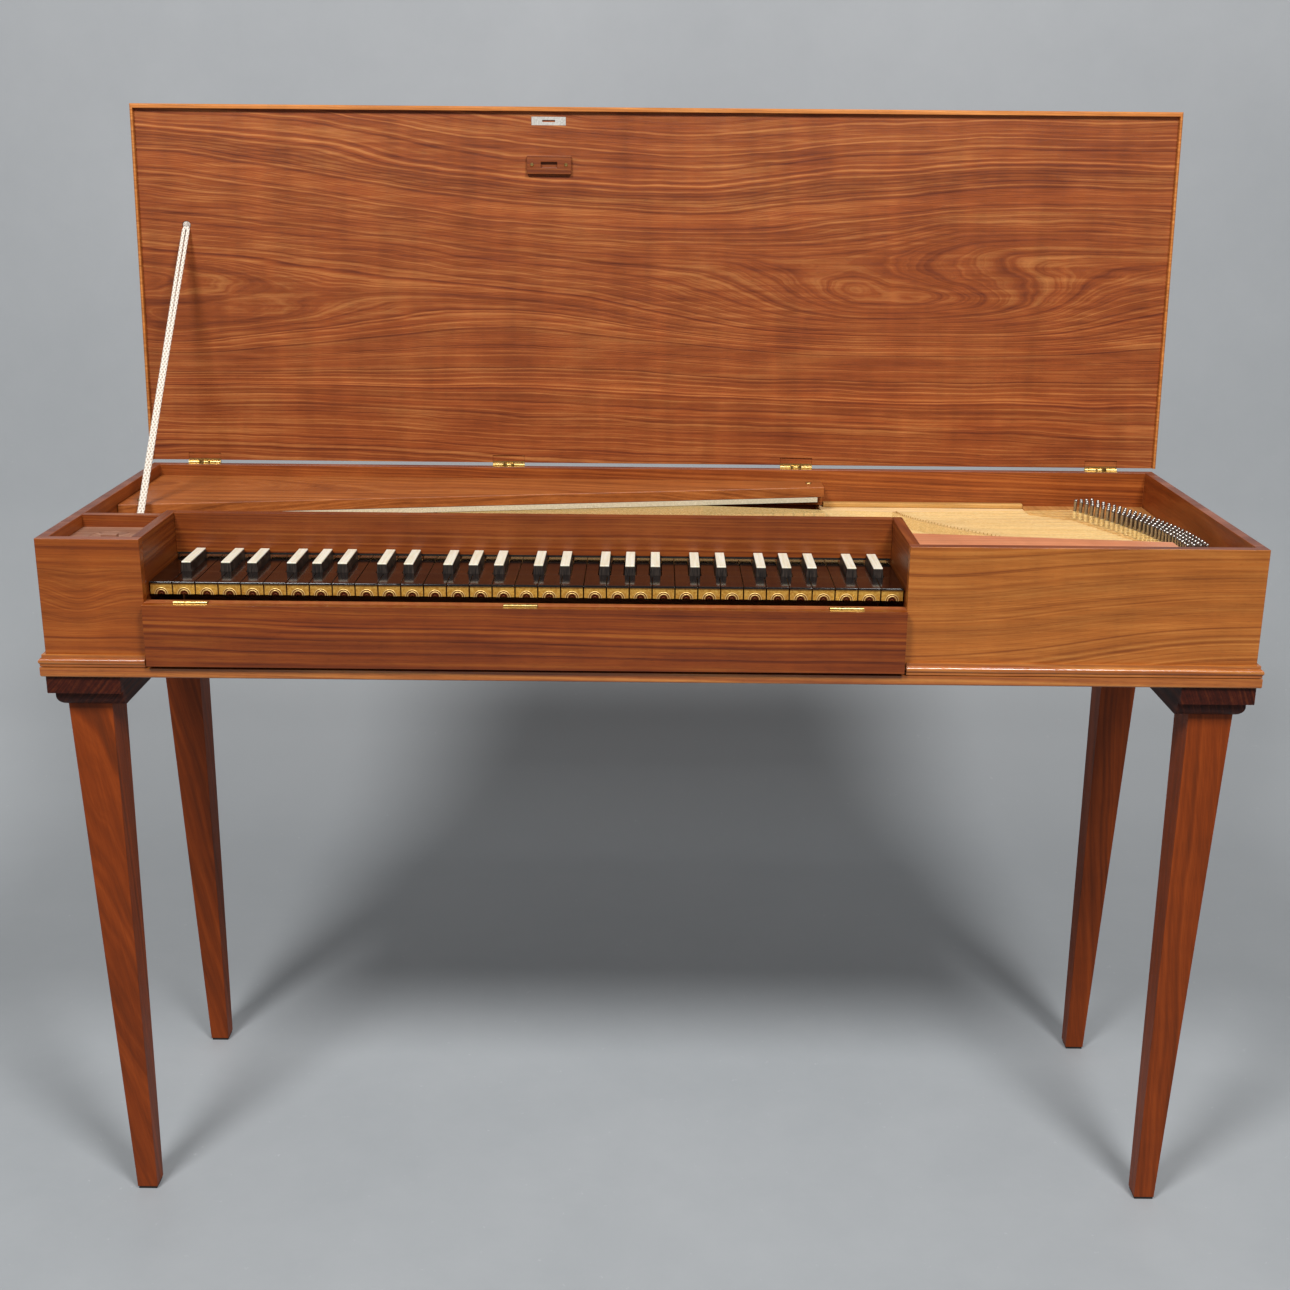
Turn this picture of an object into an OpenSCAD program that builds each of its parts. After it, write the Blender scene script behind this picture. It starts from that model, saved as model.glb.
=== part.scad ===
// Clavichord on a four-legged stand: walnut case, open lid on a corded stay,
// drop-front fall, 56 keys with brass tangents, oblique double strings.
// X runs to the treble end, Y to the spine, Z up. The floor is Z = 0.

/* [Case] */
// Length of the case over its end walls
case_w = 1219; // [1219:1:1260]
// Depth of the case from the front wall to the spine
case_d = 404; // [404:1:440]
// Height of the case rim above the floor
rim_z = 762; // [742:1:790]
// Height of the underside of the case above the floor
base_z = 620; // [610:1:622]
// Thickness of the case walls
wall_t = 11; // [10:0.5:12]
// Thickness of the baseboard
base_t = 14; // [12:1:16]
// How far the plinth and the torus stand out from the walls
plinth_out = 5.5; // [4:0.5:6]

/* [Lid] */
// How far the lid leans back past upright when it is open
lid_lean = 4; // [0:1:12]
// Length of the lid from the hinge axis to its front edge
lid_len = 418; // [415:1:425]
// Thickness of the lid panel
lid_t = 9.5; // [8:0.5:12]
// How far the lipping hangs below the underside of the lid
lip_drop = 5; // [3:0.5:7]
// How far the lipping reaches past the end walls
lip_side = 4; // [3.5:0.5:5]

/* [Keyboard] */
// Width of one natural key, gap included
key_pitch = 23; // [22:0.1:23]
// Left edge of the lowest key
key_x0 = -505; // [-506:0.5:-504]
// Length of a natural key's head, in front of the sharps
head_len = 42.5; // [38:0.5:46]
// Front dip of a natural, as the angle it turns through
natural_dip = 1.5; // [1:0.1:1.6]
// Front dip of a sharp, as the angle it turns through
sharp_dip = 1.7; // [1:0.1:1.8]

/* [Stand] */
// Width and depth of a leg at its top
leg_top = 45; // [40:0.5:50]
// Width and depth of a leg at its foot
leg_foot = 22.5; // [20:0.5:28]
// Thickness of the pads under the legs
pad_t = 3; // [2:0.5:4]

/* [Hidden] */
$fn = 32;

// Plan of the case
half_w = case_w / 2;
in_x = half_w - wall_t;
back_y = case_d - wall_t;
floor_z = base_z + base_t;
cheek_t = 11;
well_x0 = -506;
well_x1 = 255;
board_t = 11;
board_y = 124;
board_bottom = 719;
rail_top = 697.5;

// Toolbox at the left front
box_back_y = 109;
box_wall = 10;
box_lid_z = 743;
box_lid_t = 6;
dish_r = 21;

// Lid, drawn closed and then turned open about its hinge axis
lid_gap = 0.3;
lid_axis_y = case_d + 3;
lid_axis_z = rim_z + 0.2;
lid_under = rim_z + lid_gap;
lid_open = 90 + lid_lean;
lid_front = lid_axis_y - lid_len;
lip_front_t = 5;
lip_clear = 0.6;
strike_w = 40;

// Fall, drawn closed and then turned down to hang from the front rail
fall_t = 8.8;
fall_y0 = 0.2;
fall_axis_y = -0.8;
fall_axis_z = rail_top + 0.3;
fall_bottom = fall_axis_z + 0.3;
fall_top = rim_z - 0.2;
fall_side_gap = 0.7;

// Butt hinges: x of each, width, knuckle radius, pin radius
lid_hinge_x = [-547.5, -175.5, 175.5, 547.5];
lid_hinge_w = 39;
lid_knuckle_r = 2.7;
fall_hinge_x = [-459, -130, 195];
fall_hinge_w = 34;
fall_knuckle_r = 2;
pin_r = 1;
pin_clear = 0.12;
leaf_t = 1.3;
knuckles = 3;
knuckle_fn = 16;
knuckle_gap = 0.3;

// Keys: compass of 56 keys from A to E, levers, tangents and balance
key_count = 56;
first_pitch = 9;
white_top = 714.5;
white_t = 2.3;
white_lip = 1.3;
arcade_t = 1;
arcade_w = key_pitch - 1.4;
arcade_ridge = 0.5;
arcade_rings = [[7.2, 6.1], [5.2, 4.2]];
arcade_disc = 3.3;
lever_z0 = 701.2;
lever_z1 = 712.2;
front_y = 18;
sharp_y0 = front_y + head_len + 0.9;
sharp_y1 = 122;
sharp_top = 724.5;
sharp_w = 11.5;
slip_cap_t = 1.5;
sharp_slot = 12.5;
key_gap = 0.7;
shelf_y = 129;
lever_w = 8.6;
natural_axis_y = 146;
sharp_axis_y = 156;
balance_r = 1.2;
slip_t = 1;
rack_t = 9;
rack_top = 722;
rack_x1 = 206;

// Strings: height, radius, half the space in a pair, and the ends of the three lines they meet
string_z = 730;
string_r = 0.2;
pair_half = 0.6;
tangent_bass = [-480, 226];
tangent_treble = [192, 314];
bridge_points = [[285, 303], [291, 268], [350, 205], [455, 118]];
bridge_w = 7;
hitch_top = 727;
plank_line = [[451, back_y], [451, 352], [497, 322], [553, 195], [562, 100], [552, wall_t]];
plank_top = 720;
plank_t = 30;
belly_top = 718;
belly_t = 3;
belly_x = 200;
wrest_r = 1.75;
wrest_top = 741.5;
coil_z = 728.5;

// Board over the key tails, and its front edge
over_z0 = 736;
over_z1 = 748.5;
over_left = [-598, 221.5];
over_right = [206, 357];

// Stay from the hitch rail to the lid
stay_low = [-569, 199, hitch_top];
stay_lid_x = -555;
stay_lid_from_axis = 281;
stay_r = 2;

// Stand
bearer_in = 536;
bearer_out = 611;
bearer_y0 = -2;
bearer_y1 = 390;
bearer_step_z = 601.5;
bearer_step = 6;
ovolo_r = 11;
leg_z = 586;
leg_out = 596.5;
leg_y = 14;
foot_out = 576;
foot_y = 22;
bolt_r = 4;

bolt_y = [leg_y + leg_top / 2, bearer_y0 + bearer_y1 - leg_y - leg_top / 2];

// The origin lies on the floor, under the middle of the open instrument
y_front = 2 * fall_axis_y - fall_y0 - fall_t;
y_rear = lid_axis_y + lid_len * sin(lid_lean) + (lid_under - lid_axis_z + lid_t) * cos(lid_lean);
origin_y = (y_front + y_rear) / 2;

// Colours
walnut = "#9a5a2c";
dark_walnut = "#6e3518";
mahogany = "#4a1f14";
cherry = "#8b3f1e";
spruce = "#d9b871";
beech = "#c79a5b";
pear = "#d98c66";
brass = "#c9a24a";
steel = "#a9adb2";
felt = "#e9e1cf";
ebony = "#1d1816";
bone = "#efe6d2";
gold = "#c9962f";

function lerp(a, b, t) = a + (b - a) * t;
function unit(v) = v / norm(v);

// Layout of the octave: place of each pitch class among the naturals, 12 classes from C
class_white = [0, 0, 1, 1, 2, 3, 3, 4, 4, 5, 5, 6];
class_sharp = [false, true, false, true, false, false, true, false, true, false, true, false];
function pitch_of(k) = (first_pitch + k) % 12;
function octave_of(k) = floor((first_pitch + k) / 12);
function is_sharp(k) = class_sharp[pitch_of(k)];
function white_index(k) = 7 * octave_of(k) + class_white[pitch_of(k)] - 5;
function white_x(k) = key_x0 + key_pitch * white_index(k);

// The tails of C to E share three pitches, and those of F to B share four
function group_start(k) = pitch_of(k) < 5 ? 0 : 5;
function group_whites(k) = pitch_of(k) < 5 ? 3 : 4;
function group_sharps(k) = pitch_of(k) < 5 ? 2 : 3;
function group_x(k) = key_x0 + key_pitch * (7 * octave_of(k) + (pitch_of(k) < 5 ? 0 : 3) - 5);
function tail_w(k) = (group_whites(k) * key_pitch - group_sharps(k) * sharp_slot) / group_whites(k);
function tail_left(k) =
  let (n = pitch_of(k) - group_start(k), sharps = floor(n / 2), whites = n - sharps)
  group_x(k) + whites * tail_w(k) + sharps * sharp_slot;
function tail_right(k) = tail_left(k) + (is_sharp(k) ? sharp_slot : tail_w(k));
function tail_mid(k) = k == 0 ? (key_x0 + tail_right(k)) / 2 : (tail_left(k) + tail_right(k)) / 2;

// Lines that every course of strings meets
function tangent_at(k) = lerp(tangent_bass, tangent_treble, k / (key_count - 1));
function bridge_curve(t) =
  pow(1 - t, 3) * bridge_points[0] + 3 * t * pow(1 - t, 2) * bridge_points[1]
  + 3 * pow(t, 2) * (1 - t) * bridge_points[2] + pow(t, 3) * bridge_points[3];
// A course meets the bridge where its line, parallel to the others, cuts the curve
string_slope = (bridge_points[0][1] - tangent_treble[1]) / (bridge_points[0][0] - tangent_treble[0]);
function rise(p) = p[1] - string_slope * p[0];
function find_t(goal, lo, hi, n) =
  n == 0 ? (lo + hi) / 2 : let (m = (lo + hi) / 2)
  rise(bridge_curve(m)) > goal ? find_t(goal, m, hi, n - 1) : find_t(goal, lo, m, n - 1);
function bridge_at(k) = bridge_curve(find_t(rise(tangent_at(k)), -0.02, 1.05, 24));
function line_y(k, x) =
  let (a = tangent_at(k), b = bridge_at(k)) a[1] + (x - a[0]) * (b[1] - a[1]) / (b[0] - a[0]);
function hitch_x(k) = k <= 12 ? -565 + 3 * k : -470 + 10.2 * (k - 13);
function hitch_at(k) = [hitch_x(k), line_y(k, hitch_x(k))];
function plank_edge(y) = 562 - 65 * pow(max(y - 110, 0) / 220, 2);
// Tuning pins stand in groups of four, for two courses, each a rank further on than the last.
// Across the strings they step so that every string passes clear of the nearer pins.
function wrest_row(k) = let (y = lerp(105, 326, floor(k / 2) / (key_count / 2 - 1))) [plank_edge(y), y];
function wrest_along(k) =
  let (j = 2 * floor(k / 2)) unit(wrest_row(j) - (bridge_at(j) + bridge_at(j + 1)) / 2);
function wrest_across(k) = let (d = wrest_along(k)) [-d[1], d[0]];
function wrest_angle(k) = atan2(wrest_along(k)[1], wrest_along(k)[0]);
function wrest_at(k, s) = let (rank = 2 * (k % 2) + s)
  wrest_row(k) + wrest_along(k) * 7 * rank + wrest_across(k) * 1.12 * rank;

// Levers: centre line from the shelf to the tangent, and the end of the tail
function tail_end(k) = tangent_at(k)[1] + 8;
function lever_x(k, y) =
  lerp(tail_mid(k), tangent_at(k)[0], (y - shelf_y) / (tangent_at(k)[1] - shelf_y));
function axis_y(k) = is_sharp(k) ? sharp_axis_y : natural_axis_y;
function dip(k) = is_sharp(k) ? sharp_dip : natural_dip;
function tangent_top(k) =
  string_z - string_r - 0.15 - (tangent_at(k)[1] - axis_y(k)) * sin(dip(k));
function rack_y(x) = lerp(tangent_bass[1], tangent_treble[1],
  (x - tangent_bass[0]) / (tangent_treble[0] - tangent_bass[0])) + 10;
function over_edge(x) = over_left[1] + (x - over_left[0])
  * (over_right[1] - over_left[1]) / (over_right[0] - over_left[0]);

module place() translate([0, -origin_y, 0]) children();
module slab(points, z0, z1) translate([0, 0, z0]) linear_extrude(z1 - z0) polygon(points);
module block(a, b) translate(a) cube(b - a);
module along_y(y0, y1) translate([0, y1, 0]) rotate([90, 0, 0]) linear_extrude(y1 - y0) children();
module along_x(x0, x1) translate([x0, 0, 0]) rotate([90, 0, 90]) linear_extrude(x1 - x0) children();
module on_lid() translate([0, lid_axis_y, lid_axis_z]) rotate([-lid_open, 0, 0])
  translate([0, -lid_axis_y, -lid_axis_z]) children();
module on_fall() translate([0, fall_axis_y, fall_axis_z]) rotate([180, 0, 0])
  translate([0, -fall_axis_y, -fall_axis_z]) children();

// A tapered leg is where its front view and its side view meet. Side is -1 for the left.
module leg(side, rear) {
  mirror([side < 0 ? 1 : 0, 0, 0])
  translate([0, rear ? bearer_y0 + bearer_y1 : 0, 0])
  mirror([0, rear ? 1 : 0, 0])
  difference() {
    intersection() {
      along_y(0, 80) polygon([
        [leg_out - leg_top, leg_z], [leg_out, leg_z], [foot_out, pad_t], [foot_out - leg_foot, pad_t]
      ]);
      along_x(500, 640) polygon([
        [leg_y, leg_z], [leg_y + leg_top, leg_z], [foot_y + leg_foot, pad_t], [foot_y, pad_t]
      ]);
    }
    translate([leg_out - leg_top / 2, leg_y + leg_top / 2, leg_z - 50]) cylinder(r = bolt_r, h = 60);
  }
}

// A bearer is a flat block over an ovolo that turns round its ends and its outer side
module bearer(side) {
  mirror([side < 0 ? 1 : 0, 0, 0])
  difference() {
    union() {
      block([bearer_in, bearer_y0, bearer_step_z], [bearer_out, bearer_y1, base_z]);
      intersection() {
        along_y(bearer_y0, bearer_y1) ovolo(bearer_in, bearer_out - bearer_step, false);
        along_x(bearer_in - 1, bearer_out + 1)
          ovolo(bearer_y0 + bearer_step, bearer_y1 - bearer_step, true);
      }
    }
    for (y = bolt_y) translate([leg_out - leg_top / 2, y, leg_z - 1]) cylinder(r = bolt_r, h = 25);
  }
}
module ovolo(a, b, both) {
  difference() {
    translate([a, leg_z]) square([b - a, bearer_step_z - leg_z]);
    ovolo_cut(b, 1);
    if (both) ovolo_cut(a, -1);
  }
}
module ovolo_cut(edge, way) difference() {
  translate([way > 0 ? edge - ovolo_r : edge - 1, leg_z - 1]) square([ovolo_r + 1, ovolo_r + 1]);
  translate([edge - way * ovolo_r, leg_z + ovolo_r]) circle(ovolo_r);
}

// Moulding round the foot of the case: plinth, quirk, torus and fillet
module moulding_profile(plinth_only) {
  z1 = base_z + 10;
  difference() {
    union() {
      translate([0, base_z]) square([plinth_out, 10]);
      if (!plinth_only) {
        translate([0, z1 + 1]) square([plinth_out - 0.5, 2.2]);
        translate([0, z1]) square([plinth_out - 2.5, 11.2]);
        translate([plinth_out - 2.7, z1 + 6.2]) circle(3.4);
        translate([0, z1]) square([3.2, 13]);
      }
    }
    difference() {
      translate([plinth_out - 2, base_z - 1]) square(3);
      translate([plinth_out - 2, base_z + 2]) circle(2);
    }
    translate([-10, base_z]) square([10, 30]);
  }
}
module bearer_left() color(mahogany) place() bearer(-1);
module bearer_right() color(mahogany) place() bearer(1);
module leg_front_left() color(cherry) place() leg(-1, false);
module leg_front_right() color(cherry) place() leg(1, false);
module leg_rear_left() color(cherry) place() leg(-1, true);
module leg_rear_right() color(cherry) place() leg(1, true);

module foot_pads() color(ebony) place()
  for (x = [-foot_out, foot_out - leg_foot], y = [foot_y, bearer_y0 + bearer_y1 - foot_y - leg_foot])
    translate([x + 1, y + 1, 0]) cube([leg_foot - 2, leg_foot - 2, pad_t]);

// Hanger bolts that hold each leg to its bearer
module leg_bolts() color(steel) place()
  for (x = [-1, 1], y = bolt_y)
    translate([x * (leg_out - leg_top / 2), y, leg_z - 48]) cylinder(r = bolt_r - 0.1, h = 70);

module baseboard() color(walnut) place()
  block([-half_w, 0, base_z], [half_w, case_d, floor_z]);

module base_moulding() color(walnut) place() {
  front_run(-half_w, well_x0 - 2, false);
  front_run(well_x1 + 2, half_w, false);
  front_run(well_x0 - 2, well_x1 + 2, true);
  side_run(-1);
  side_run(1);
}
// The front runs are mitred at the corners of the case
module front_run(x0, x1, plinth_only) intersection() {
  rotate([0, 0, -90]) along_y(x0 - 8, x1 + 8) moulding_profile(plinth_only);
  slab([
    [x0 - (x0 < -half_w + 1 ? 20 : 0), -20], [x1 + (x1 > half_w - 1 ? 20 : 0), -20], [x1, 0], [x0, 0]
  ], base_z - 1, base_z + 30);
}
module side_run(side) mirror([side < 0 ? 1 : 0, 0, 0]) intersection() {
  translate([half_w, 0, 0]) along_y(-8, case_d) moulding_profile(false);
  slab([[half_w, 0], [half_w + 20, -20], [half_w + 20, case_d], [half_w, case_d]], base_z - 1, base_z + 30);
}

module spine() color(walnut) place() difference() {
  slab([[-half_w, case_d], [half_w, case_d], [in_x, back_y], [-in_x, back_y]], floor_z, rim_z);
  for (x = lid_hinge_x) translate([x, 0, 0]) hinge_bed(lid_hinge_w, case_d - 8.5, case_d + 1, rim_z, -1);
}
module end_left() color(walnut) place()
  slab([[-half_w, 0], [-in_x, wall_t], [-in_x, back_y], [-half_w, case_d]], floor_z, rim_z);
module end_right() color(walnut) place()
  slab([[half_w, 0], [half_w, case_d], [in_x, back_y], [in_x, wall_t]], floor_z, rim_z);
module front_left() color(walnut) place()
  slab([[-half_w, 0], [well_x0, 0], [well_x0, wall_t], [-in_x, wall_t]], floor_z, rim_z);
module front_right() color(walnut) place()
  slab([[well_x1, 0], [half_w, 0], [in_x, wall_t], [well_x1, wall_t]], floor_z, rim_z);

module front_rail() color(walnut) place() difference() {
  block([well_x0, 0, floor_z], [well_x1, wall_t, rail_top]);
  for (x = fall_hinge_x) translate([x, 0, 0]) {
    hinge_bed(fall_hinge_w, 1, 8.5, rail_top, -1);
    block([-fall_hinge_w / 2 - 0.3, -1, rail_top - 2.4], [fall_hinge_w / 2 + 0.3, 1.8, rail_top + 1]);
  }
}
module cheek_left() color(dark_walnut) place()
  block([well_x0 - cheek_t, wall_t, floor_z], [well_x0, board_y + board_t, rim_z]);
module cheek_right() color(dark_walnut) place()
  block([well_x1, wall_t, floor_z], [well_x1 + cheek_t, board_y + board_t, rim_z]);
module nameboard() color(dark_walnut) place()
  block([well_x0, board_y, board_bottom], [well_x1, board_y + board_t, rim_z]);

// Toolbox: rear wall, floor and the cleats that carry its lift-out lid
module toolbox_tray() color(dark_walnut) place() {
  block([-in_x, box_back_y, floor_z], [well_x0 - cheek_t, box_back_y + box_wall, rim_z]);
  block([-in_x, wall_t, floor_z], [well_x0 - cheek_t, box_back_y, floor_z + 5]);
  for (y = [wall_t, box_back_y - 5])
    block([-in_x, y, box_lid_z - 8], [well_x0 - cheek_t, y + 5, box_lid_z]);
}
// The lid has a turned dish with a small finger block left standing in it
module toolbox_lid() color(dark_walnut) place() {
  mid = [(well_x0 - cheek_t - in_x) / 2, (wall_t + box_back_y) / 2 + 10];
  difference() {
    block([-in_x + 0.7, wall_t + 0.7, box_lid_z], [well_x0 - cheek_t - 0.7, box_back_y - 0.7, box_lid_z + box_lid_t]);
    translate([mid[0], mid[1], box_lid_z + box_lid_t]) rotate_extrude() intersection() {
      translate([0, 58]) circle(62, $fn = 96);
      translate([0, -4]) square([dish_r, 8]);
    }
  }
  translate([mid[0] - 8, mid[1] - 4, box_lid_z + 1.8]) cube([16, 8, 6]);
}

// Balance rail with a narrow ridge under each row of pins
module balance_rail() color(beech) place() {
  along_x(well_x0 + 1, well_x1 - 9) polygon([
    [natural_axis_y - 10, floor_z], [sharp_axis_y + 10, floor_z], [sharp_axis_y + 10, 699],
    [sharp_axis_y + 2, 699], [sharp_axis_y + 1, 700.8], [sharp_axis_y - 1, 700.8], [sharp_axis_y - 2, 699],
    [natural_axis_y + 2, 699], [natural_axis_y + 1, 700.8], [natural_axis_y - 1, 700.8],
    [natural_axis_y - 2, 699], [natural_axis_y - 10, 699]
  ]);
}
module balance_pins() color(brass) place()
  for (k = [0:key_count - 1])
    translate([lever_x(k, axis_y(k)), axis_y(k), 700.8]) cylinder(r = balance_r, h = 15, $fn = 6);

// Slotted rack behind the key tails, which guides the slip in each tail
module key_rack() color(beech) place() difference() {
  slab([
    [well_x0 - 5, rack_y(well_x0 - 5)], [rack_x1, rack_y(rack_x1)],
    [rack_x1, rack_y(rack_x1) + rack_t], [well_x0 - 5, rack_y(well_x0 - 5) + rack_t]
  ], floor_z, rack_top);
  for (k = [0:key_count - 1])
    translate([tangent_at(k)[0] - 1.1, tail_end(k) - 4, 698]) cube([2.2, rack_t + 14, 30]);
}

// Hitch rail: a block at the bass end and a wedge along the spine
module hitch_rail() color(beech) place() {
  x_in = well_x0 - cheek_t;
  x_end = 60;
  slab([
    [-in_x, box_back_y + box_wall], [x_in, box_back_y + box_wall], [x_in, rack_y(x_in) + rack_t + 1],
    [x_end, rack_y(x_end) + rack_t + 1], [x_end, back_y], [-in_x, back_y]
  ], hitch_top - 25, hitch_top);
}

// Belly rail under the left edge of the soundboard, and liners along the spine and the front
module belly_rail() color(beech) place() {
  top = belly_top - belly_t;
  slab([[well_x1, board_y + board_t], [well_x1 + cheek_t, board_y + board_t], [belly_x + 12, back_y], [belly_x, back_y]],
    floor_z, top);
  block([belly_x + 12, back_y - 10, top - 12], [plank_line[0][0], back_y, top]);
  block([well_x1 + cheek_t, wall_t, top - 12], [plank_line[5][0], wall_t + 10, top]);
}
module soundboard() color(spruce) place() slab(concat(
  [[belly_x, back_y], [well_x1, board_y + board_t], [well_x1 + cheek_t, board_y + board_t], [well_x1 + cheek_t, wall_t]],
  [for (i = [5:-1:0]) plank_line[i]]
), belly_top - belly_t, belly_top);
module soundboard_moulding() color(spruce) place()
  block([belly_x + 8, back_y - 9, belly_top], [plank_line[0][0], back_y, belly_top + 6]);

// Bridge: a curved bar with rounded ends, swept in plan
module bridge() color(beech) place() {
  steps = 24;
  top = string_z - string_r - 0.1;
  side = function(t, w) let (p = bridge_curve(t), d = unit(bridge_curve(t + 0.01) - bridge_curve(t - 0.01)))
    p + [-d[1], d[0]] * w;
  slab(concat(
    [for (i = [0:steps]) side(-0.04 + 1.12 * i / steps, bridge_w / 2)],
    [for (i = [steps:-1:0]) side(-0.04 + 1.12 * i / steps, -bridge_w / 2)]
  ), belly_top, top);
  for (t = [-0.04, 1.08])
    translate([bridge_curve(t)[0], bridge_curve(t)[1], belly_top])
      cylinder(r = bridge_w / 2, h = top - belly_top);
}

// Brass pins: one hitch pin for each string, one bridge pin for each course
module string_pins() color(brass) place() for (k = [0:key_count - 1]) {
  for (s = [-1, 1]) {
    p = hitch_pin(k, s);
    translate([p[0], p[1], hitch_top]) cylinder(r = 0.8, h = 6, $fn = 4);
  }
  translate([bridge_at(k)[0], bridge_at(k)[1], string_z - 0.25]) cylinder(r = 0.4, h = 2.2, $fn = 4);
}
function string_way(k) = unit(bridge_at(k) - tangent_at(k));
function string_shift(k, s) = let (d = string_way(k)) [-d[1], d[0]] * pair_half * s;
function hitch_pin(k, s) = hitch_at(k) - string_way(k) * 3 * s + string_shift(k, s);

module wrest_plank() color(beech) place()
  slab(concat(plank_line, [[in_x, wall_t], [in_x, back_y]]), plank_top - plank_t, plank_top);

// Tuning pins with flattened heads, in four ranks along the plank
module tuning_pins() color(steel) place() for (k = [0:key_count - 1], s = [0, 1]) {
  p = wrest_at(k, s);
  translate([p[0], p[1], plank_top]) rotate([0, 0, wrest_angle(k)]) {
    cylinder(r = wrest_r, h = 12, $fn = 6);
    translate([-1.5, -1, 11]) cube([3, 2, wrest_top - plank_top - 11]);
  }
}

// Two strings to each course, from hitch pin to bridge and on past one side of the tuning pin
module strings() color(brass) place() for (k = [0:key_count - 1], s = [0, 1]) {
  side = 2 * s - 1;
  hitch = hitch_pin(k, side) + string_way(k) * 0.9;
  bearing = bridge_at(k) + string_shift(k, side);
  pin = wrest_at(k, s) + wrest_across(k) * (wrest_r + string_r);
  wire(hitch, bearing, pin);
}
// A wire is where its plan, bent at the bridge, meets its side view, which falls to the coil
module wire(a, b, c) {
  r = string_r * 0.85;
  across_a = left_of(b - a) * r;
  across_c = left_of(c - b) * r;
  across_b = unit(across_a + across_c) * r;
  intersection() {
    slab([a - across_a, b - across_b, c - across_c, c + across_c, b + across_b, a + across_a],
      coil_z - 2, string_z + 2);
    along_y(100, back_y) polygon([
      [a[0] - 2, string_z - r], [b[0], string_z - r], [c[0] + 1, coil_z - r],
      [c[0] + 1, coil_z + r], [b[0], string_z + r], [a[0] - 2, string_z + r]
    ]);
  }
}
function left_of(v) = unit([-v[1], v[0]]);

// Felt strip under the front edge of the over-rail
module listing_cloth() color(felt) place()
  slab([
    [-500, over_edge(-500) - 1], [198, over_edge(198) - 1],
    [198, over_edge(198) + 12], [-500, over_edge(-500) + 12]
  ], string_z + 0.6, over_z0);

// Board over the key tails, on a block at each end
module over_rail() color(walnut) place() {
  slab([over_left, over_right, [over_right[0], back_y], [over_left[0], back_y]], over_z0, over_z1);
  block([over_left[0], 300, hitch_top], [over_left[0] + 20, back_y, over_z0]);
  block([150, back_y - 16, over_z0 - 14], [over_right[0], back_y, over_z0]);
}
module over_rail_screws() color(steel) place()
  for (p = [[-579, 246], [189, 380]])
    translate([p[0], p[1], over_z1]) screw_head(4);
module screw_head(r) difference() {
  cylinder(r1 = r, r2 = r * 0.65, h = r * 0.45, $fn = 16);
  translate([-r, -0.4, r * 0.25]) cube([2 * r, 0.8, r]);
}

// Board inside the front wall, to the right of the keys
module front_board() color(pear) place()
  slab([[well_x1 + cheek_t, wall_t], [546, wall_t], [546, 103], [well_x1 + cheek_t, 134]], 740, 745);

// Butt hinges. A leaf lies in its bed, and every other knuckle belongs to it.
module hinge_bed(w, y0, y1, z, way)
  block([-w / 2 - 0.1, y0 - 0.1, way < 0 ? z - leaf_t - 0.05 : z - 1],
    [w / 2 + 0.1, y1, way < 0 ? z + 1 : z + leaf_t + 0.05]);
module hinge_leaf(w, y0, y1, z0, z1, r, axis, first) {
  step = w / knuckles;
  difference() {
    union() {
      block([-w / 2, min(y0, y1), z0], [w / 2, max(y0, y1), z1]);
      for (i = [first:2:knuckles - 1]) knuckle(-w / 2 + i * step, step, r, axis);
    }
    for (i = [1 - first:2:knuckles - 1])
      translate([-w / 2 + i * step - knuckle_gap / 2, axis[0], axis[1]]) rotate([0, 90, 0])
        cylinder(r = r + 0.25, h = step + knuckle_gap, $fn = knuckle_fn);
    translate([-w / 2 - 1, axis[0], axis[1]]) rotate([0, 90, 0])
      cylinder(r = pin_r + pin_clear, h = w + 2, $fn = knuckle_fn);
  }
}
module knuckle(x, w, r, axis) translate([x + knuckle_gap / 2, axis[0], axis[1]])
  rotate([0, 90, 0]) cylinder(r = r, h = w - knuckle_gap, $fn = knuckle_fn);

module case_hinge_leaves() color(brass) place() {
  for (x = lid_hinge_x) translate([x, 0, 0])
    hinge_leaf(lid_hinge_w, case_d - 8.5, lid_axis_y, rim_z - leaf_t, rim_z,
      lid_knuckle_r, [lid_axis_y, lid_axis_z], 0);
  for (x = fall_hinge_x) translate([x, 0, 0])
    hinge_leaf(fall_hinge_w, fall_axis_y, 8.5, rail_top - leaf_t, rail_top,
      fall_knuckle_r, [fall_axis_y, fall_axis_z], 0);
}
module lid_hinge_leaves() color(brass) place() on_lid()
  for (x = lid_hinge_x) translate([x, 0, 0])
    hinge_leaf(lid_hinge_w, case_d - 8.5, lid_axis_y, lid_under, lid_under + leaf_t,
      lid_knuckle_r, [lid_axis_y, lid_axis_z], 1);
module fall_hinge_leaves() color(brass) place() on_fall()
  for (x = fall_hinge_x) translate([x, 0, 0])
    hinge_leaf(fall_hinge_w, fall_axis_y, 8, fall_bottom, fall_bottom + leaf_t,
      fall_knuckle_r, [fall_axis_y, fall_axis_z], 1);
module hinge_pins() color(brass) place() {
  for (x = lid_hinge_x) translate([x - lid_hinge_w / 2, lid_axis_y, lid_axis_z])
    rotate([0, 90, 0]) cylinder(r = pin_r, h = lid_hinge_w, $fn = knuckle_fn);
  for (x = fall_hinge_x) translate([x - fall_hinge_w / 2, fall_axis_y, fall_axis_z])
    rotate([0, 90, 0]) cylinder(r = pin_r, h = fall_hinge_w, $fn = knuckle_fn);
}

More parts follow.
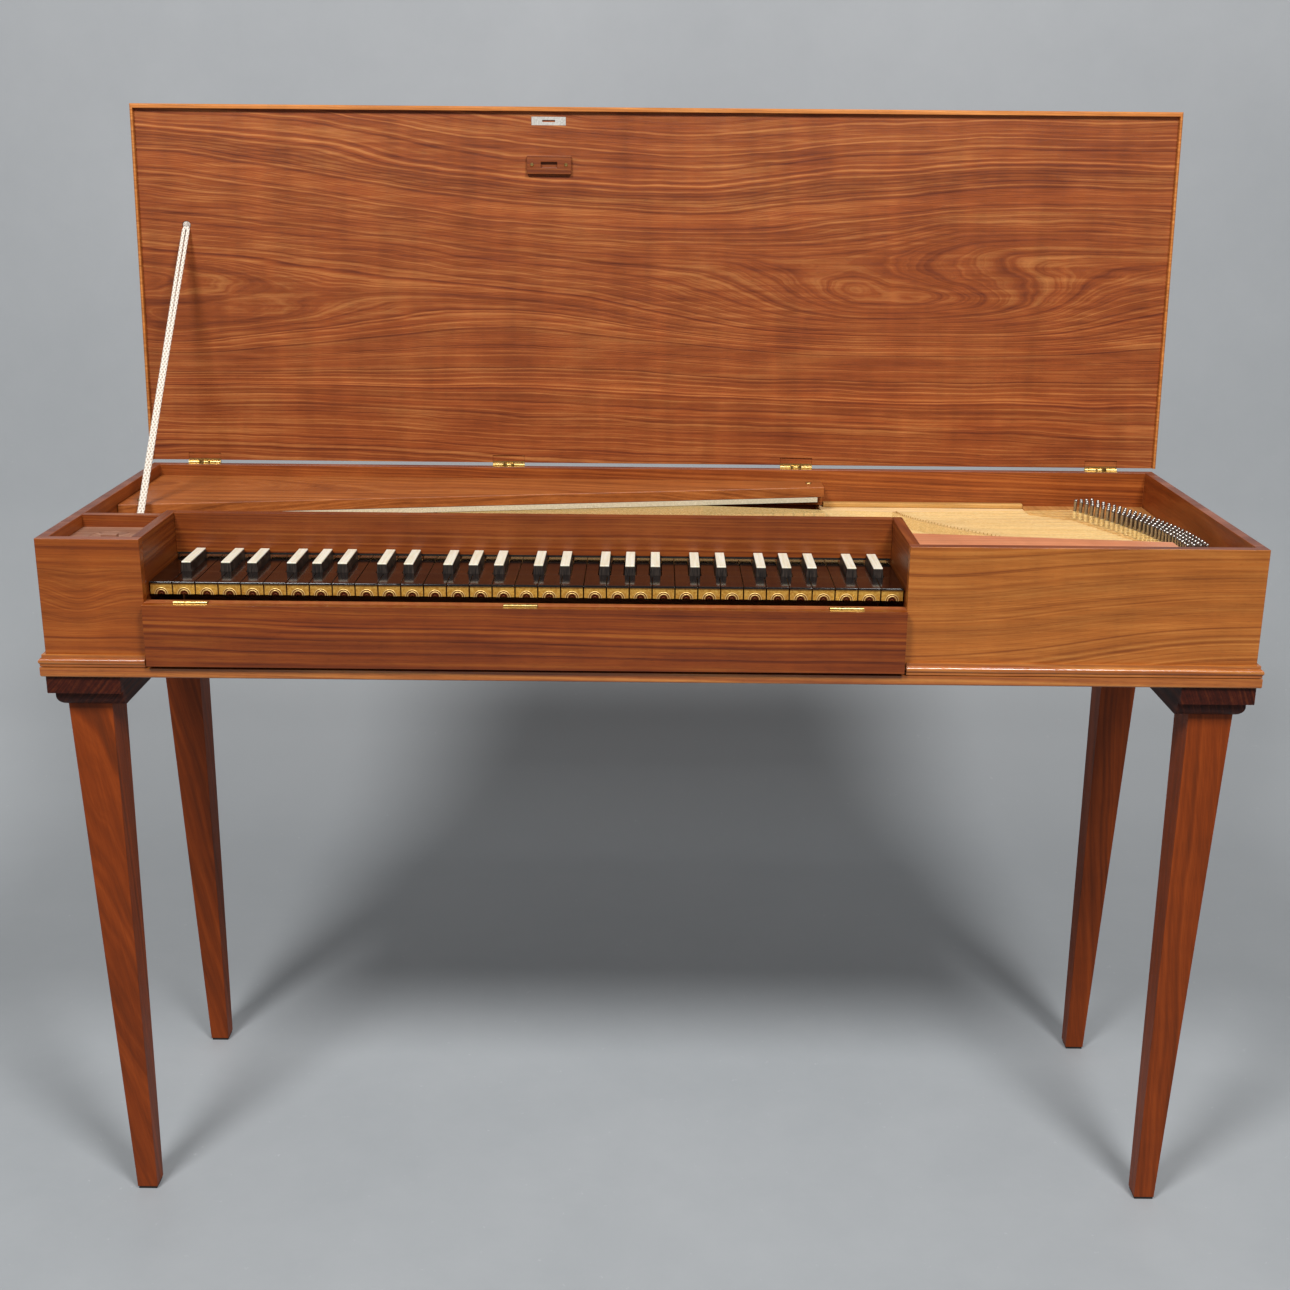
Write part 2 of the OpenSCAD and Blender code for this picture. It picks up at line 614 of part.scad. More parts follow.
// Stay: two braided cords side by side, from the hitch rail to the hole in the lid
module lid_stay() color(felt) place() {
  d = stay_lid_from_axis;
  top = [stay_lid_x, lid_axis_y + d * sin(lid_lean), lid_axis_z + d * cos(lid_lean)];
  v = top - stay_low;
  translate(stay_low) rotate([0, acos(v[2] / norm(v)), atan2(v[1], v[0])]) rotate([0, 0, 90])
    for (side = [-1, 1]) translate([side * (stay_r - 0.05), 0, 2]) cylinder(r = stay_r, h = norm(v) - 5);
}

// Lid panel with its hinge beds and the hole for the stay
module lid_panel() color(walnut) place() on_lid() difference() {
  block([-half_w - lip_clear, lid_front + lip_front_t, lid_under], [half_w + lip_clear, case_d, lid_under + lid_t]);
  for (x = lid_hinge_x) translate([x, 0, 0]) hinge_bed(lid_hinge_w, case_d - 8.5, case_d + 1, lid_under, 1);
  translate([stay_lid_x, lid_axis_y - stay_lid_from_axis, lid_under - 1]) cylinder(r = 5, h = lid_t + 2);
  translate([-125 - strike_w / 2 - 0.1, lid_axis_y - 402.5 - 4.8, lid_under - 1]) cube([strike_w + 0.2, 9.6, 2.3]);
}
// Lipping glued round the front and the ends of the panel, mitred, with eased outer edges
module lid_lipping() color(walnut) place() on_lid() {
  z0 = lid_under - lip_drop;
  z1 = lid_under + lid_t;
  x_out = half_w + lip_side;
  x_in = half_w + lip_clear;
  y_in = lid_front + lip_front_t;
  intersection() {
    along_x(-x_out, x_out) lip_profile(-lid_front, -y_in, z0, z1, true);
    slab([[-x_out, lid_front], [x_out, lid_front], [x_in, y_in], [-x_in, y_in]], z0, z1);
  }
  for (side = [0, 1]) mirror([side, 0, 0]) intersection() {
    along_y(lid_front, case_d) lip_profile(x_out, x_in, z0, z1, false);
    slab([[x_out, lid_front], [x_out, case_d], [x_in, case_d], [x_in, y_in]], z0, z1);
  }
}
// Section of the lipping between its outer face and its inner one
module lip_profile(out, in, z0, z1, flip) mirror([flip ? 1 : 0, 0]) {
  ease = 1.5;
  polygon([[in, z0], [out - ease, z0], [out, z0 + ease], [out, z1 - ease], [out - ease, z1], [in, z1]]);
}

// Steel strike plate let into the lid, and the wooden slotted block under it
module strike_plate() color(steel) place() on_lid()
  translate([-125, lid_axis_y - 402.5, lid_under]) difference() {
    translate([-strike_w / 2, -4.7, 0]) cube([strike_w, 9.4, 1.2]);
    translate([-7.5, -1.2, -1]) cube([15, 2.4, 4]);
  }
module slotted_block() color(dark_walnut) place() on_lid()
  translate([-124.5, lid_axis_y - 353, lid_under - 5]) difference() {
    translate([-26, -10.5, 0]) cube([52, 21, 5]);
    translate([-9.5, -3.2, -1]) cube([19, 6.4, 5]);
  }
module block_screws() color(steel) place() on_lid()
  for (x = [-20, 20]) translate([-124.5 + x, lid_axis_y - 353, lid_under - 5]) mirror([0, 0, 1]) screw_head(2.4);

// Fall: a plain flap with hinge beds in the edge that meets the rail
module fall_board() color(walnut) place() on_fall() difference() {
  block([well_x0 + fall_side_gap, fall_y0, fall_bottom], [well_x1 - fall_side_gap, fall_y0 + fall_t, fall_top]);
  for (x = fall_hinge_x) translate([x, 0, 0]) {
    hinge_bed(fall_hinge_w, 0, 8, fall_bottom, 1);
    block([-fall_hinge_w / 2 - 0.3, -1, fall_bottom - 1], [fall_hinge_w / 2 + 0.3, 1.8, fall_bottom + 2.4]);
  }
}

// All the keys of one pitch class, each a lever with its top, tangent and slip
module key_class(pitch) place()
  for (k = [0:key_count - 1]) if (pitch_of(k) == pitch) {
    if (is_sharp(k)) sharp_key(k);
    else natural_key(k);
  }
module natural_key(k) {
  x0 = white_x(k) + key_gap / 2;
  x1 = x0 + key_pitch - key_gap;
  notch = front_y + head_len;
  t0 = k == 0 ? x0 : tail_left(k) + key_gap / 2;
  t1 = k == key_count - 1 ? x1 : tail_right(k) - key_gap / 2;
  arcade_y = front_y + white_lip;
  tail = [[x1, notch], [t1, notch], [t1, shelf_y], [t0, shelf_y], [t0, notch], [x0, notch]];
  color(ebony) slab(concat([[x0, front_y], [x1, front_y]], tail), lever_z1, white_top);
  arcade((x0 + x1) / 2, arcade_y);
  lever(k, concat([[x0, arcade_y + arcade_t], [x1, arcade_y + arcade_t]], tail));
}
// Gilt plaque on the front of a natural: two raised half rings round a sunk half disc
module arcade(x, y) color(gold) {
  along_y(y, y + arcade_t) difference() {
    translate([x - arcade_w / 2, lever_z0]) square([arcade_w, lever_z1 - lever_z0]);
    half_disc(x, arcade_disc);
  }
  for (r = arcade_rings) along_y(y - arcade_ridge, y + 0.1) difference() {
    half_disc(x, r[0]);
    half_disc(x, r[1]);
  }
}
module half_disc(x, r) intersection() {
  translate([x, lever_z0]) circle(r);
  translate([x - r, lever_z0]) square([2 * r, r]);
}
module sharp_key(k) {
  m = tail_mid(k);
  h = sharp_w / 2;
  plan = [[m - h, sharp_y0], [m + h, sharp_y0], [m + h, shelf_y], [m - h, shelf_y]];
  color(ebony) along_y(sharp_y0, sharp_y1) polygon([
    [m - h, lever_z1], [m + h, lever_z1], [m + h - 0.8, sharp_top - slip_cap_t], [m - h + 0.8, sharp_top - slip_cap_t]
  ]);
  color(bone) block([m - h + 1, sharp_y0 + 0.2, sharp_top - slip_cap_t], [m + h - 1, sharp_y1 - 0.2, sharp_top]);
  lever(k, plan);
}
// Lever from the key front to the tangent, with its mortise for the balance pin
module lever(k, plan) color(beech) {
  end = tail_end(k);
  h = lever_w / 2;
  t = tangent_at(k);
  difference() {
    union() {
      slab(plan, lever_z0, lever_z1);
      slab([
        [tail_mid(k) - h, shelf_y - 0.1], [tail_mid(k) + h, shelf_y - 0.1],
        [lever_x(k, end) + h, end], [lever_x(k, end) - h, end]
      ], lever_z0, lever_z1);
    }
    translate([lever_x(k, axis_y(k)) - balance_r - 0.35, axis_y(k) - balance_r - 1, lever_z0 - 1])
      cube([2 * balance_r + 0.7, 2 * balance_r + 2, 13]);
  }
  translate([t[0] - 0.5, t[1] - 0.9, lever_z1 - 3]) cube([1, 1.8, tangent_top(k) - lever_z1 + 3]);
  translate([t[0] - slip_t / 2, end - 3, lever_z0 + 2]) cube([slip_t, rack_t + 3, 7]);
}
module c_keys() key_class(0);
module c_sharp_keys() key_class(1);
module d_keys() key_class(2);
module d_sharp_keys() key_class(3);
module e_keys() key_class(4);
module f_keys() key_class(5);
module f_sharp_keys() key_class(6);
module g_keys() key_class(7);
module g_sharp_keys() key_class(8);
module a_keys() key_class(9);
module a_sharp_keys() key_class(10);
module b_keys() key_class(11);

bearer_left();
bearer_right();
leg_front_left();
leg_front_right();
leg_rear_left();
leg_rear_right();
foot_pads();
leg_bolts();
baseboard();
base_moulding();
spine();
end_left();
end_right();
front_left();
front_right();
front_rail();
cheek_left();
cheek_right();
nameboard();
toolbox_tray();
toolbox_lid();
balance_rail();
balance_pins();
key_rack();
hitch_rail();
belly_rail();
soundboard();
soundboard_moulding();
bridge();
string_pins();
wrest_plank();
tuning_pins();
strings();
listing_cloth();
over_rail();
over_rail_screws();
front_board();
case_hinge_leaves();
hinge_pins();
lid_stay();
lid_panel();
lid_lipping();
lid_hinge_leaves();
strike_plate();
slotted_block();
block_screws();
fall_board();
fall_hinge_leaves();
c_keys();
c_sharp_keys();
d_keys();
d_sharp_keys();
e_keys();
f_keys();
f_sharp_keys();
g_keys();
g_sharp_keys();
a_keys();
a_sharp_keys();
b_keys();
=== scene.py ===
"""Looks of a clavichord on its four-legged stand, in metres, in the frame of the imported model."""
import math
import random

import bpy
from mathutils import Matrix, Vector


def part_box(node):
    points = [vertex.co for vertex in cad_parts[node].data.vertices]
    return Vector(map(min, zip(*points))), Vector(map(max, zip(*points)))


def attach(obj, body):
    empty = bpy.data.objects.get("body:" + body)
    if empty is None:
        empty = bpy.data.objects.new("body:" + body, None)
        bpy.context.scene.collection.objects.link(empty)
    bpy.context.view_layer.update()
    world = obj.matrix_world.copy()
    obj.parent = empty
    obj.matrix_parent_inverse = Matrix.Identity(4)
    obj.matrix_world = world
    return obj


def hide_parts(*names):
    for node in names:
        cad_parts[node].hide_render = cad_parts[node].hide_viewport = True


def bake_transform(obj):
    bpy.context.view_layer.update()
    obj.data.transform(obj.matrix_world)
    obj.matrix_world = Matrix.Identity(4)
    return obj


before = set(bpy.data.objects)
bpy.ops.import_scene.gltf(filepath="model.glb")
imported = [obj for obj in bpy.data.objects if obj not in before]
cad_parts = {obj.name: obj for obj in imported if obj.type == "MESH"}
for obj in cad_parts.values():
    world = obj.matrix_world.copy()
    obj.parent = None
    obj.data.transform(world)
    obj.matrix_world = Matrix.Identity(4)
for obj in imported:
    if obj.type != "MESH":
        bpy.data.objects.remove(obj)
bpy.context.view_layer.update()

# Camera: a lens of ordinary length, 1.8 m before the keys and at chest height.
# It looks down on the keyboard, a touch to the left, and is tipped a little.
camera_pitch = math.radians(72.953)
camera_yaw = math.radians(0.202)
camera_roll = math.radians(0.496)
bpy.ops.object.camera_add(location=(0, 0, 0))
camera = bpy.context.object
camera.data.lens = 45.5
camera.data.sensor_width = 36
camera.matrix_world = (
    Matrix.Translation((-0.0001, -1.7815, 1.1378))
    @ Matrix.Rotation(camera_yaw, 4, "Z")
    @ Matrix.Rotation(camera_pitch, 4, "X")
    @ Matrix.Rotation(camera_roll, 4, "Z")
)
bpy.context.scene.camera = camera

# Lid stay: a length of white braided cotton cord, doubled, knotted through a hole in the lid.
# Its two strands run side by side down to the block at the bass end of the case.
case_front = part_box("front_rail")[0].y
stay_strand = 0.0042
strand_steps = 60
stay_run = 0.387
stay_low = Vector((-0.569, case_front + 0.199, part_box("hitch_rail")[1].z + 0.001))
stay_high = Vector((-0.555, 0, 0))
lid_hinge_y = case_front + 0.407
lid_hinge_z = 0.7622
stay_reach = 0.281
lid_lean = math.radians(4)
stay_depth = 0.001
stay_high.y = lid_hinge_y + stay_reach * math.sin(lid_lean) + stay_depth * math.cos(lid_lean)
stay_high.z = lid_hinge_z + stay_reach * math.cos(lid_lean) - stay_depth * math.sin(lid_lean)


def node(tree, kind, inputs=None, **settings):
    """Adds a shader node. An input is a value, or the socket that it is linked from."""
    made = tree.nodes.new("ShaderNode" + kind)
    for name, value in settings.items():
        setattr(made, name, value)
    for name, value in (inputs or {}).items():
        if isinstance(value, bpy.types.NodeSocket):
            tree.links.new(value, made.inputs[name])
        else:
            made.inputs[name].default_value = value
    return made


def calc(tree, operation, a, b=0.0, c=0.0):
    """One step of arithmetic, as a socket."""
    return node(tree, "Math", {0: a, 1: b, 2: c}, operation=operation).outputs[0]


def noise(tree, where, scale, detail=2, roughness=0.5):
    """Noise at a place, from 0 to 1, as a socket."""
    inputs = {"Vector": where, "Scale": scale, "Detail": detail, "Roughness": roughness}
    return node(tree, "TexNoise", inputs).outputs[0]


def scaled(tree, where, *scale):
    """A place scaled along each axis, as a socket."""
    return node(tree, "Mapping", {"Vector": where, "Scale": scale}).outputs[0]


def parts_of(tree, where):
    """The x, y and z of a place, as sockets."""
    return node(tree, "SeparateXYZ", {0: where}).outputs


def tint(code):
    """A colour written as six hex digits, as linear light."""
    parts = [int(code[i:i + 2], 16) / 255 for i in (0, 2, 4)]
    return tuple(p / 12.92 if p <= 0.04045 else ((p + 0.055) / 1.055) ** 2.4 for p in parts) + (1,)


def mix_colours(tree, share, first, second):
    """Two colours mixed by a share from 0 to 1, as a socket."""
    return node(tree, "Mix", {0: share, 6: first, 7: second}, data_type="RGBA").outputs[2]


def ramp(tree, share, *stops):
    """A colour ramp through stops of (place, hex colour)."""
    made = node(tree, "ValToRGB", {"Fac": share})
    bar = made.color_ramp.elements
    while len(bar) < len(stops):
        bar.new(0.5)
    for stop, (place, code) in zip(bar, stops):
        stop.position = place
        stop.color = tint(code)
    return made.outputs[0]


def new_finish(name, **shader_values):
    """A material with its shader's plain values set, as (material, tree, shader)."""
    material = bpy.data.materials.new(name)
    material.use_nodes = True
    tree = material.node_tree
    shader = tree.nodes["Principled BSDF"]
    for key, value in shader_values.items():
        shader.inputs[key.replace("_", " ")].default_value = value
    return material, tree, shader


def raise_grain(tree, shader, height, strength, distance):
    """Feeds a height to the shader's normal."""
    bump = node(tree, "Bump", {"Height": height, "Strength": strength, "Distance": distance})
    tree.links.new(bump.outputs[0], shader.inputs["Normal"])


def braided_cotton():
    """White cotton braid: slanting plaits in both directions, by the strand's own UV map."""
    material, tree, shader = new_finish("braided_cotton", Roughness=0.9)
    uv = node(tree, "UVMap", uv_map="braid").outputs[0]
    parts = parts_of(tree, uv)
    plaits = []
    plaits_round = 3.0
    plaits_along = calc(tree, "MULTIPLY", parts[1], 150.0)
    for way in (1, -1):
        slope = calc(tree, "MULTIPLY_ADD", parts[0], plaits_round * way, plaits_along)
        plaits.append(calc(tree, "SINE", calc(tree, "MULTIPLY", slope, math.tau)))
    height = calc(tree, "MAXIMUM", *plaits)
    lane = scaled(tree, uv, 0.013, 1, 1)
    fuzz = noise(tree, lane, 1400, 3)
    # The plaits' hollows are painted darker, which is painted shade. The fuzz is random tone.
    plait_shade_and_fuzz = calc(tree, "ADD", calc(tree, "MULTIPLY", height, 0.35), calc(tree, "MULTIPLY", fuzz, 0.65))
    colour = ramp(tree, plait_shade_and_fuzz, (0.0, "9c8a78"), (0.35, "d9cbbb"), (0.8, "f1e9dd"))
    tree.links.new(colour, shader.inputs["Base Color"])
    shader.inputs["Sheen Weight"].default_value = 0.25
    raise_grain(tree, shader, height, 0.7, 0.0005)
    return material


def strand_point(side, t):
    """Point on a strand's centre line. The strands part a little below the hole and touch lower down."""
    middle = stay_low.lerp(stay_high, t)
    apart = stay_strand * (0.46 + 0.14 * min(max((t - 0.55) / 0.3, 0), 1))
    pinch = 1 - 0.75 * max((t - 0.985) / 0.015, 0)
    return middle + Vector((side * apart * pinch, 0, 0)) + Vector((0, -0.0012, 0)) * math.sin(math.pi * t)


def strand(side):
    """A tube of twelve sides round a strand's centre line, with a UV map that runs along it."""
    points = [strand_point(side, i / strand_steps) for i in range(strand_steps + 1)]
    sides = 12
    rings = []
    along = (stay_high - stay_low).normalized()
    right = Vector((1, 0, 0))
    out = along.cross(right).normalized()
    for point in points:
        for j in range(sides):
            turn = math.tau * j / sides
            rings.append(point + (right * math.cos(turn) * 0.5 + out * math.sin(turn) * 0.42) * stay_strand)
    quads = [
        (i * sides + j, i * sides + (j + 1) % sides, (i + 1) * sides + (j + 1) % sides, (i + 1) * sides + j)
        for i in range(strand_steps) for j in range(sides)
    ]
    caps = [tuple(reversed(range(sides))), tuple(strand_steps * sides + j for j in range(sides))]
    mesh = bpy.data.meshes.new("stay_strand")
    mesh.from_pydata(rings, [], quads + caps)
    mesh.update()
    layer = mesh.uv_layers.new(name="braid")
    for face in mesh.polygons:
        for corner in face.loop_indices:
            v = mesh.loops[corner].vertex_index
            j = v % sides
            at_seam = any(mesh.loops[c].vertex_index % sides == sides - 1 for c in face.loop_indices)
            seam = 1 if j == 0 and at_seam else 0
            layer.data[corner].uv = (j / sides + seam, v // sides / strand_steps * stay_run)
    made = bpy.data.objects.new("stay_strand_" + ("left" if side < 0 else "right"), mesh)
    bpy.context.collection.objects.link(made)
    return made, points


def only(*chosen):
    """Selects these objects and nothing else, with the first one active."""
    bpy.ops.object.select_all(action="DESELECT")
    for part in chosen:
        part.select_set(True)
    bpy.context.view_layer.objects.active = chosen[0]


def paint(piece, material):
    """Gives the piece one material."""
    piece.data.materials.clear()
    piece.data.materials.append(material)


def joined(name, parts):
    """Joins parts into one piece."""
    only(*parts)
    bpy.ops.object.join()
    parts[0].name = name
    return parts[0]


cotton = braided_cotton()
for side in (-1, 1):
    stay, stay_path = strand(side)
    only(stay)
    bpy.ops.object.shade_smooth()
    paint(stay, cotton)
    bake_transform(stay)
    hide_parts("lid_stay")
knot = []
# Each lump of the knot stands at a depth from the lid's face and has a width and a thickness.
for depth, width, thick in ((0.0024, 0.0049, 0.0062), (0.0125, 0.0085, 0.0045)):
    bpy.ops.mesh.primitive_uv_sphere_add(segments=20, ring_count=12, radius=1)
    lump = bpy.context.object
    bpy.ops.transform.resize(value=(width, thick, width * 0.98))
    bpy.ops.object.transform_apply(scale=True)
    bpy.ops.transform.rotate(value=lid_lean, orient_axis="X")
    bpy.ops.transform.translate(value=stay_high + Vector((0, depth, -depth * math.tan(lid_lean))))
    bpy.ops.object.transform_apply(location=True, rotation=True)
    bpy.ops.object.shade_smooth()
    lump.data.uv_layers[0].name = "braid"
    paint(lump, cotton)
    knot.append(lump)
knot = joined("stay_knot", knot)
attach(knot, "lid")

# Stand: four tapered legs of red-brown cherry, 45 mm square at the top and half that at the foot.
# Each pair is bolted up into a dark mahogany bearer whose lower edge is worked to an ovolo.
grain_turn = {"x": (0, 0, 0), "y": (0, 0, -math.pi / 2), "z": (0, math.pi / 2, 0)}


def object_place(tree):
    """The object coordinates, as a socket."""
    return node(tree, "TexCoord").outputs["Object"]


def between(tree, value, low, high):
    """How far a value stands from one limit to another, from 0 to 1, as a socket."""
    return node(tree, "MapRange", {"Value": value, "From Min": low, "From Max": high}).outputs[0]


def year_rings(tree, radius, rings_in_a_metre, detail, roughness=0.5):
    """Noise that changes only with the distance from the pith, as a socket."""
    across = calc(tree, "MULTIPLY", radius, rings_in_a_metre)
    inputs = {"W": across, "Scale": 1, "Detail": detail, "Roughness": roughness}
    return node(tree, "TexNoise", inputs, noise_dimensions="1D").outputs[0]


def wood(
    name, grain, dark, middle, light, line_gap=0.004, pith=(0.05, -0.10), tilt=(0.0, 0.02), wander=0.02,
    ripple=0.05, gloss=0.42, shine=0.4, slant=0.0, seed=0.0, pore_depth=0.22, band_depth=0.5, swells=(),
):
    """Sawn board: year rings round a distant pith, fine fibres, open pores and a faint ripple.

    A swell of (along, above, length, height, lift) is a place where the rings bulge, as over a branch.
    """
    material, tree, shader = new_finish(name, Roughness=gloss, Coat_Weight=0.03, Coat_Roughness=0.25)
    shader.inputs["Specular IOR Level"].default_value = shine
    here = object_place(tree)
    if slant:
        here = node(tree, "Mapping", {"Vector": here, "Rotation": (0, slant, 0)}).outputs[0]
    along_grain = node(tree, "Mapping", {"Vector": here, "Rotation": grain_turn[grain]}).outputs[0]
    parts = parts_of(tree, along_grain)
    board = node(tree, "Mapping", {"Vector": along_grain, "Location": (seed, seed * 0.37, 0)}).outputs[0]
    slow = scaled(tree, board, 0.3, 1, 1)
    drift = node(tree, "TexNoise", {"Vector": slow, "Scale": 5, "Detail": 2.5, "Roughness": 0.55})
    drifts = node(tree, "SeparateColor", {0: drift.outputs[1]})
    squares = []
    for i in (0, 1):
        offset = calc(tree, "MULTIPLY_ADD", parts[0], tilt[i], -pith[i])
        offset = calc(tree, "ADD", parts[i + 1], offset)
        offset = calc(tree, "MULTIPLY_ADD", drifts.outputs[i], wander * 2, offset)
        squares.append(calc(tree, "MULTIPLY", offset, offset))
    radius = calc(tree, "SQRT", calc(tree, "ADD", squares[0], squares[1]))
    shiver = noise(tree, slow, 21, 3)
    radius = calc(tree, "MULTIPLY_ADD", shiver, wander * 0.5, radius)
    drift_along = calc(tree, "SUBTRACT", drifts.outputs[0], 0.5)
    drift_above = calc(tree, "SUBTRACT", drifts.outputs[2], 0.5)
    along = calc(tree, "MULTIPLY_ADD", drift_along, wander * 6, parts[0])
    above = calc(tree, "MULTIPLY_ADD", drift_above, wander * 2, parts[2])
    for middle_x, middle_z, length, height, lift in swells:
        aside = calc(tree, "MULTIPLY_ADD", along, 1 / length, -middle_x / length)
        over = calc(tree, "MULTIPLY_ADD", above, 1 / height, -middle_z / height)
        far = calc(tree, "MULTIPLY_ADD", aside, aside, calc(tree, "MULTIPLY", over, over))
        bulge = calc(tree, "EXPONENT", calc(tree, "MULTIPLY", far, -1.0))
        radius = calc(tree, "MULTIPLY_ADD", bulge, lift, radius)
    rings = year_rings(tree, radius, 1 / line_gap, 4, 0.62)
    bands = year_rings(tree, radius, 0.13 / line_gap, 2)
    fibres = noise(tree, scaled(tree, board, 26, 700, 700), 1, 3, 0.6)
    pore_noise = noise(tree, scaled(tree, board, 130, 2300, 2300), 1, 1)
    pores = between(tree, pore_noise, 0.6, 0.7)
    curl = noise(tree, scaled(tree, board, 40, 5, 5), 1)
    streaks = noise(tree, scaled(tree, board, 5, 230, 230), 1, 4, 0.65)
    clouds = noise(tree, scaled(tree, board, 9, 34, 34), 1, 3, 0.6)
    shade = calc(tree, "MULTIPLY_ADD", rings, 0.5, calc(tree, "MULTIPLY", streaks, 0.28))
    shade = calc(tree, "MULTIPLY_ADD", clouds, 0.22, shade)
    colour = ramp(tree, shade, (0.36, dark), (0.5, middle), (0.64, light))
    value = calc(tree, "MULTIPLY_ADD", calc(tree, "SUBTRACT", fibres, 0.5), 0.4, 1.0)
    value = calc(tree, "MULTIPLY_ADD", calc(tree, "SUBTRACT", bands, 0.5), band_depth, value)
    value = calc(tree, "MULTIPLY_ADD", calc(tree, "SUBTRACT", curl, 0.5), ripple * 6, value)
    value = calc(tree, "MULTIPLY_ADD", pores, -pore_depth, value)
    shaded = node(tree, "HueSaturation", {"Color": colour, "Value": value}).outputs[0]
    tree.links.new(shaded, shader.inputs["Base Color"])
    sheen = calc(tree, "MULTIPLY_ADD", calc(tree, "SUBTRACT", fibres, 0.5), 0.25, gloss)
    tree.links.new(sheen, shader.inputs["Roughness"])
    height = calc(tree, "SUBTRACT", calc(tree, "MULTIPLY", fibres, 0.4), pores)
    raise_grain(tree, shader, height, 0.25, 0.00012)
    return material


def skin_of(cad_node, name):
    """A copy of a CAD node's mesh with its triangles welded and its flat faces whole again."""
    piece = bpy.data.objects.new(name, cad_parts[cad_node].data.copy())
    bpy.context.collection.objects.link(piece)
    only(piece)
    if piece.data.has_custom_normals:
        bpy.ops.mesh.customdata_custom_splitnormals_clear()
    bpy.ops.object.mode_set(mode="EDIT")
    bpy.ops.mesh.select_all(action="SELECT")
    bpy.ops.mesh.remove_doubles(threshold=0.000002)
    bpy.ops.mesh.dissolve_limited(angle_limit=math.radians(0.5))
    bpy.ops.object.mode_set(mode="OBJECT")
    return piece


def ease(piece, width, segments=2, angle=35):
    """Rounds the piece's sharp edges, and shades it smooth there while its flat faces stay flat."""
    only(piece)
    rounding = piece.modifiers.new("eased_edges", "BEVEL")
    rounding.width = width
    rounding.segments = segments
    rounding.angle_limit = math.radians(angle)
    bpy.ops.object.modifier_apply(modifier=rounding.name)
    bpy.ops.object.shade_smooth_by_angle(angle=math.radians(angle))
    flattening = piece.modifiers.new("flat_faces", "WEIGHTED_NORMAL")
    flattening.keep_sharp = True
    bpy.ops.object.modifier_apply(modifier=flattening.name)


def fit(piece, body, slot, *cad_nodes):
    """Puts a piece on its body and hides the CAD nodes that it stands for. The slot, the record's finish, is
    not used.
    """
    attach(piece, body)
    if cad_nodes:
        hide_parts(*cad_nodes)


def eased_copy(cad_node, body, slot, material, width, segments=2):
    """A CAD node with its edges rounded and its proper wood, in the node's place."""
    piece = skin_of(cad_node, cad_node + "_eased")
    paint(piece, material)
    ease(piece, width, segments)
    fit(piece, body, slot, cad_node)
    return piece


cherry = wood(
    "cherry", "z", "642a0a", "7e340a", "903f10", line_gap=0.006, pith=(0.4, 0.35), tilt=(0.12, 0.05),
    ripple=0.03, gloss=0.5, shine=0.2, slant=0.16, seed=2.1, pore_depth=0.1,
)
for leg in ("leg_front_left", "leg_front_right", "leg_rear_left", "leg_rear_right"):
    eased_copy(leg, "case", "red_walnut", cherry, 0.0011)
worn_mahogany = wood(
    "worn_mahogany", "y", "240a04", "3c1206", "54240e", line_gap=0.003, pith=(0.2, 0.3), ripple=0.04,
    gloss=0.55, shine=0.2, seed=4.4,
)
for bearer in ("bearer_left", "bearer_right"):
    eased_copy(bearer, "case", "mahogany", worn_mahogany, 0.0012)


def dress(material, *cad_nodes):
    """Gives CAD nodes whose shape is right a better material."""
    for name in cad_nodes:
        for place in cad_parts[name].material_slots:
            place.material = material


def speckled(name, dark, light, scale, roughness, bump=0.2, **shader_values):
    """A plain finish with fine mottling, for felt, rubber and worn metal."""
    material, tree, shader = new_finish(name, Roughness=roughness, **shader_values)
    here = object_place(tree)
    mottle = noise(tree, here, scale, 4, 0.6)
    tree.links.new(ramp(tree, mottle, (0.35, dark), (0.65, light)), shader.inputs["Base Color"])
    raise_grain(tree, shader, mottle, bump, 0.0003)
    return material


dress(speckled("rubber_pad", "141312", "262422", 900, 0.8), "foot_pads")
steel = speckled("bright_steel", "99948e", "c0bbb4", 700, 0.3, 0.05, Metallic=1.0)
dress(steel, "leg_bolts")

# Base of the case: a baseboard, and a walnut moulding planted round it below the walls.
# The plinth, the torus and its fillet are one strip, mitred at the corners.
walnut_long = wood(
    "walnut_long", "x", "642a0e", "8a4418", "a45c28", line_gap=0.0035, pith=(0.0, -0.6), tilt=(0, 0.03),
    wander=0.008, gloss=0.36, seed=0.3,
)
# Lighter than the walls' walnut, which is partly a painted highlight on the torus.
moulding_wood_and_highlight = wood(
    "moulding_wood_and_highlight", "x", "84421a", "a65e26", "bc7838", line_gap=0.0035, pith=(0.0, -0.6), wander=0.008,
    gloss=0.2, shine=0.6, seed=30.6,
)
eased_copy("base_moulding", "case", "walnut", moulding_wood_and_highlight, 0.0005)
baseboard_wood = wood(
    "baseboard_wood", "x", "46200c", "5a2e12", "6e3e1c", line_gap=0.006, pith=(0.3, 0.5), gloss=0.6,
    seed=7.2,
)
dress(baseboard_wood, "baseboard")
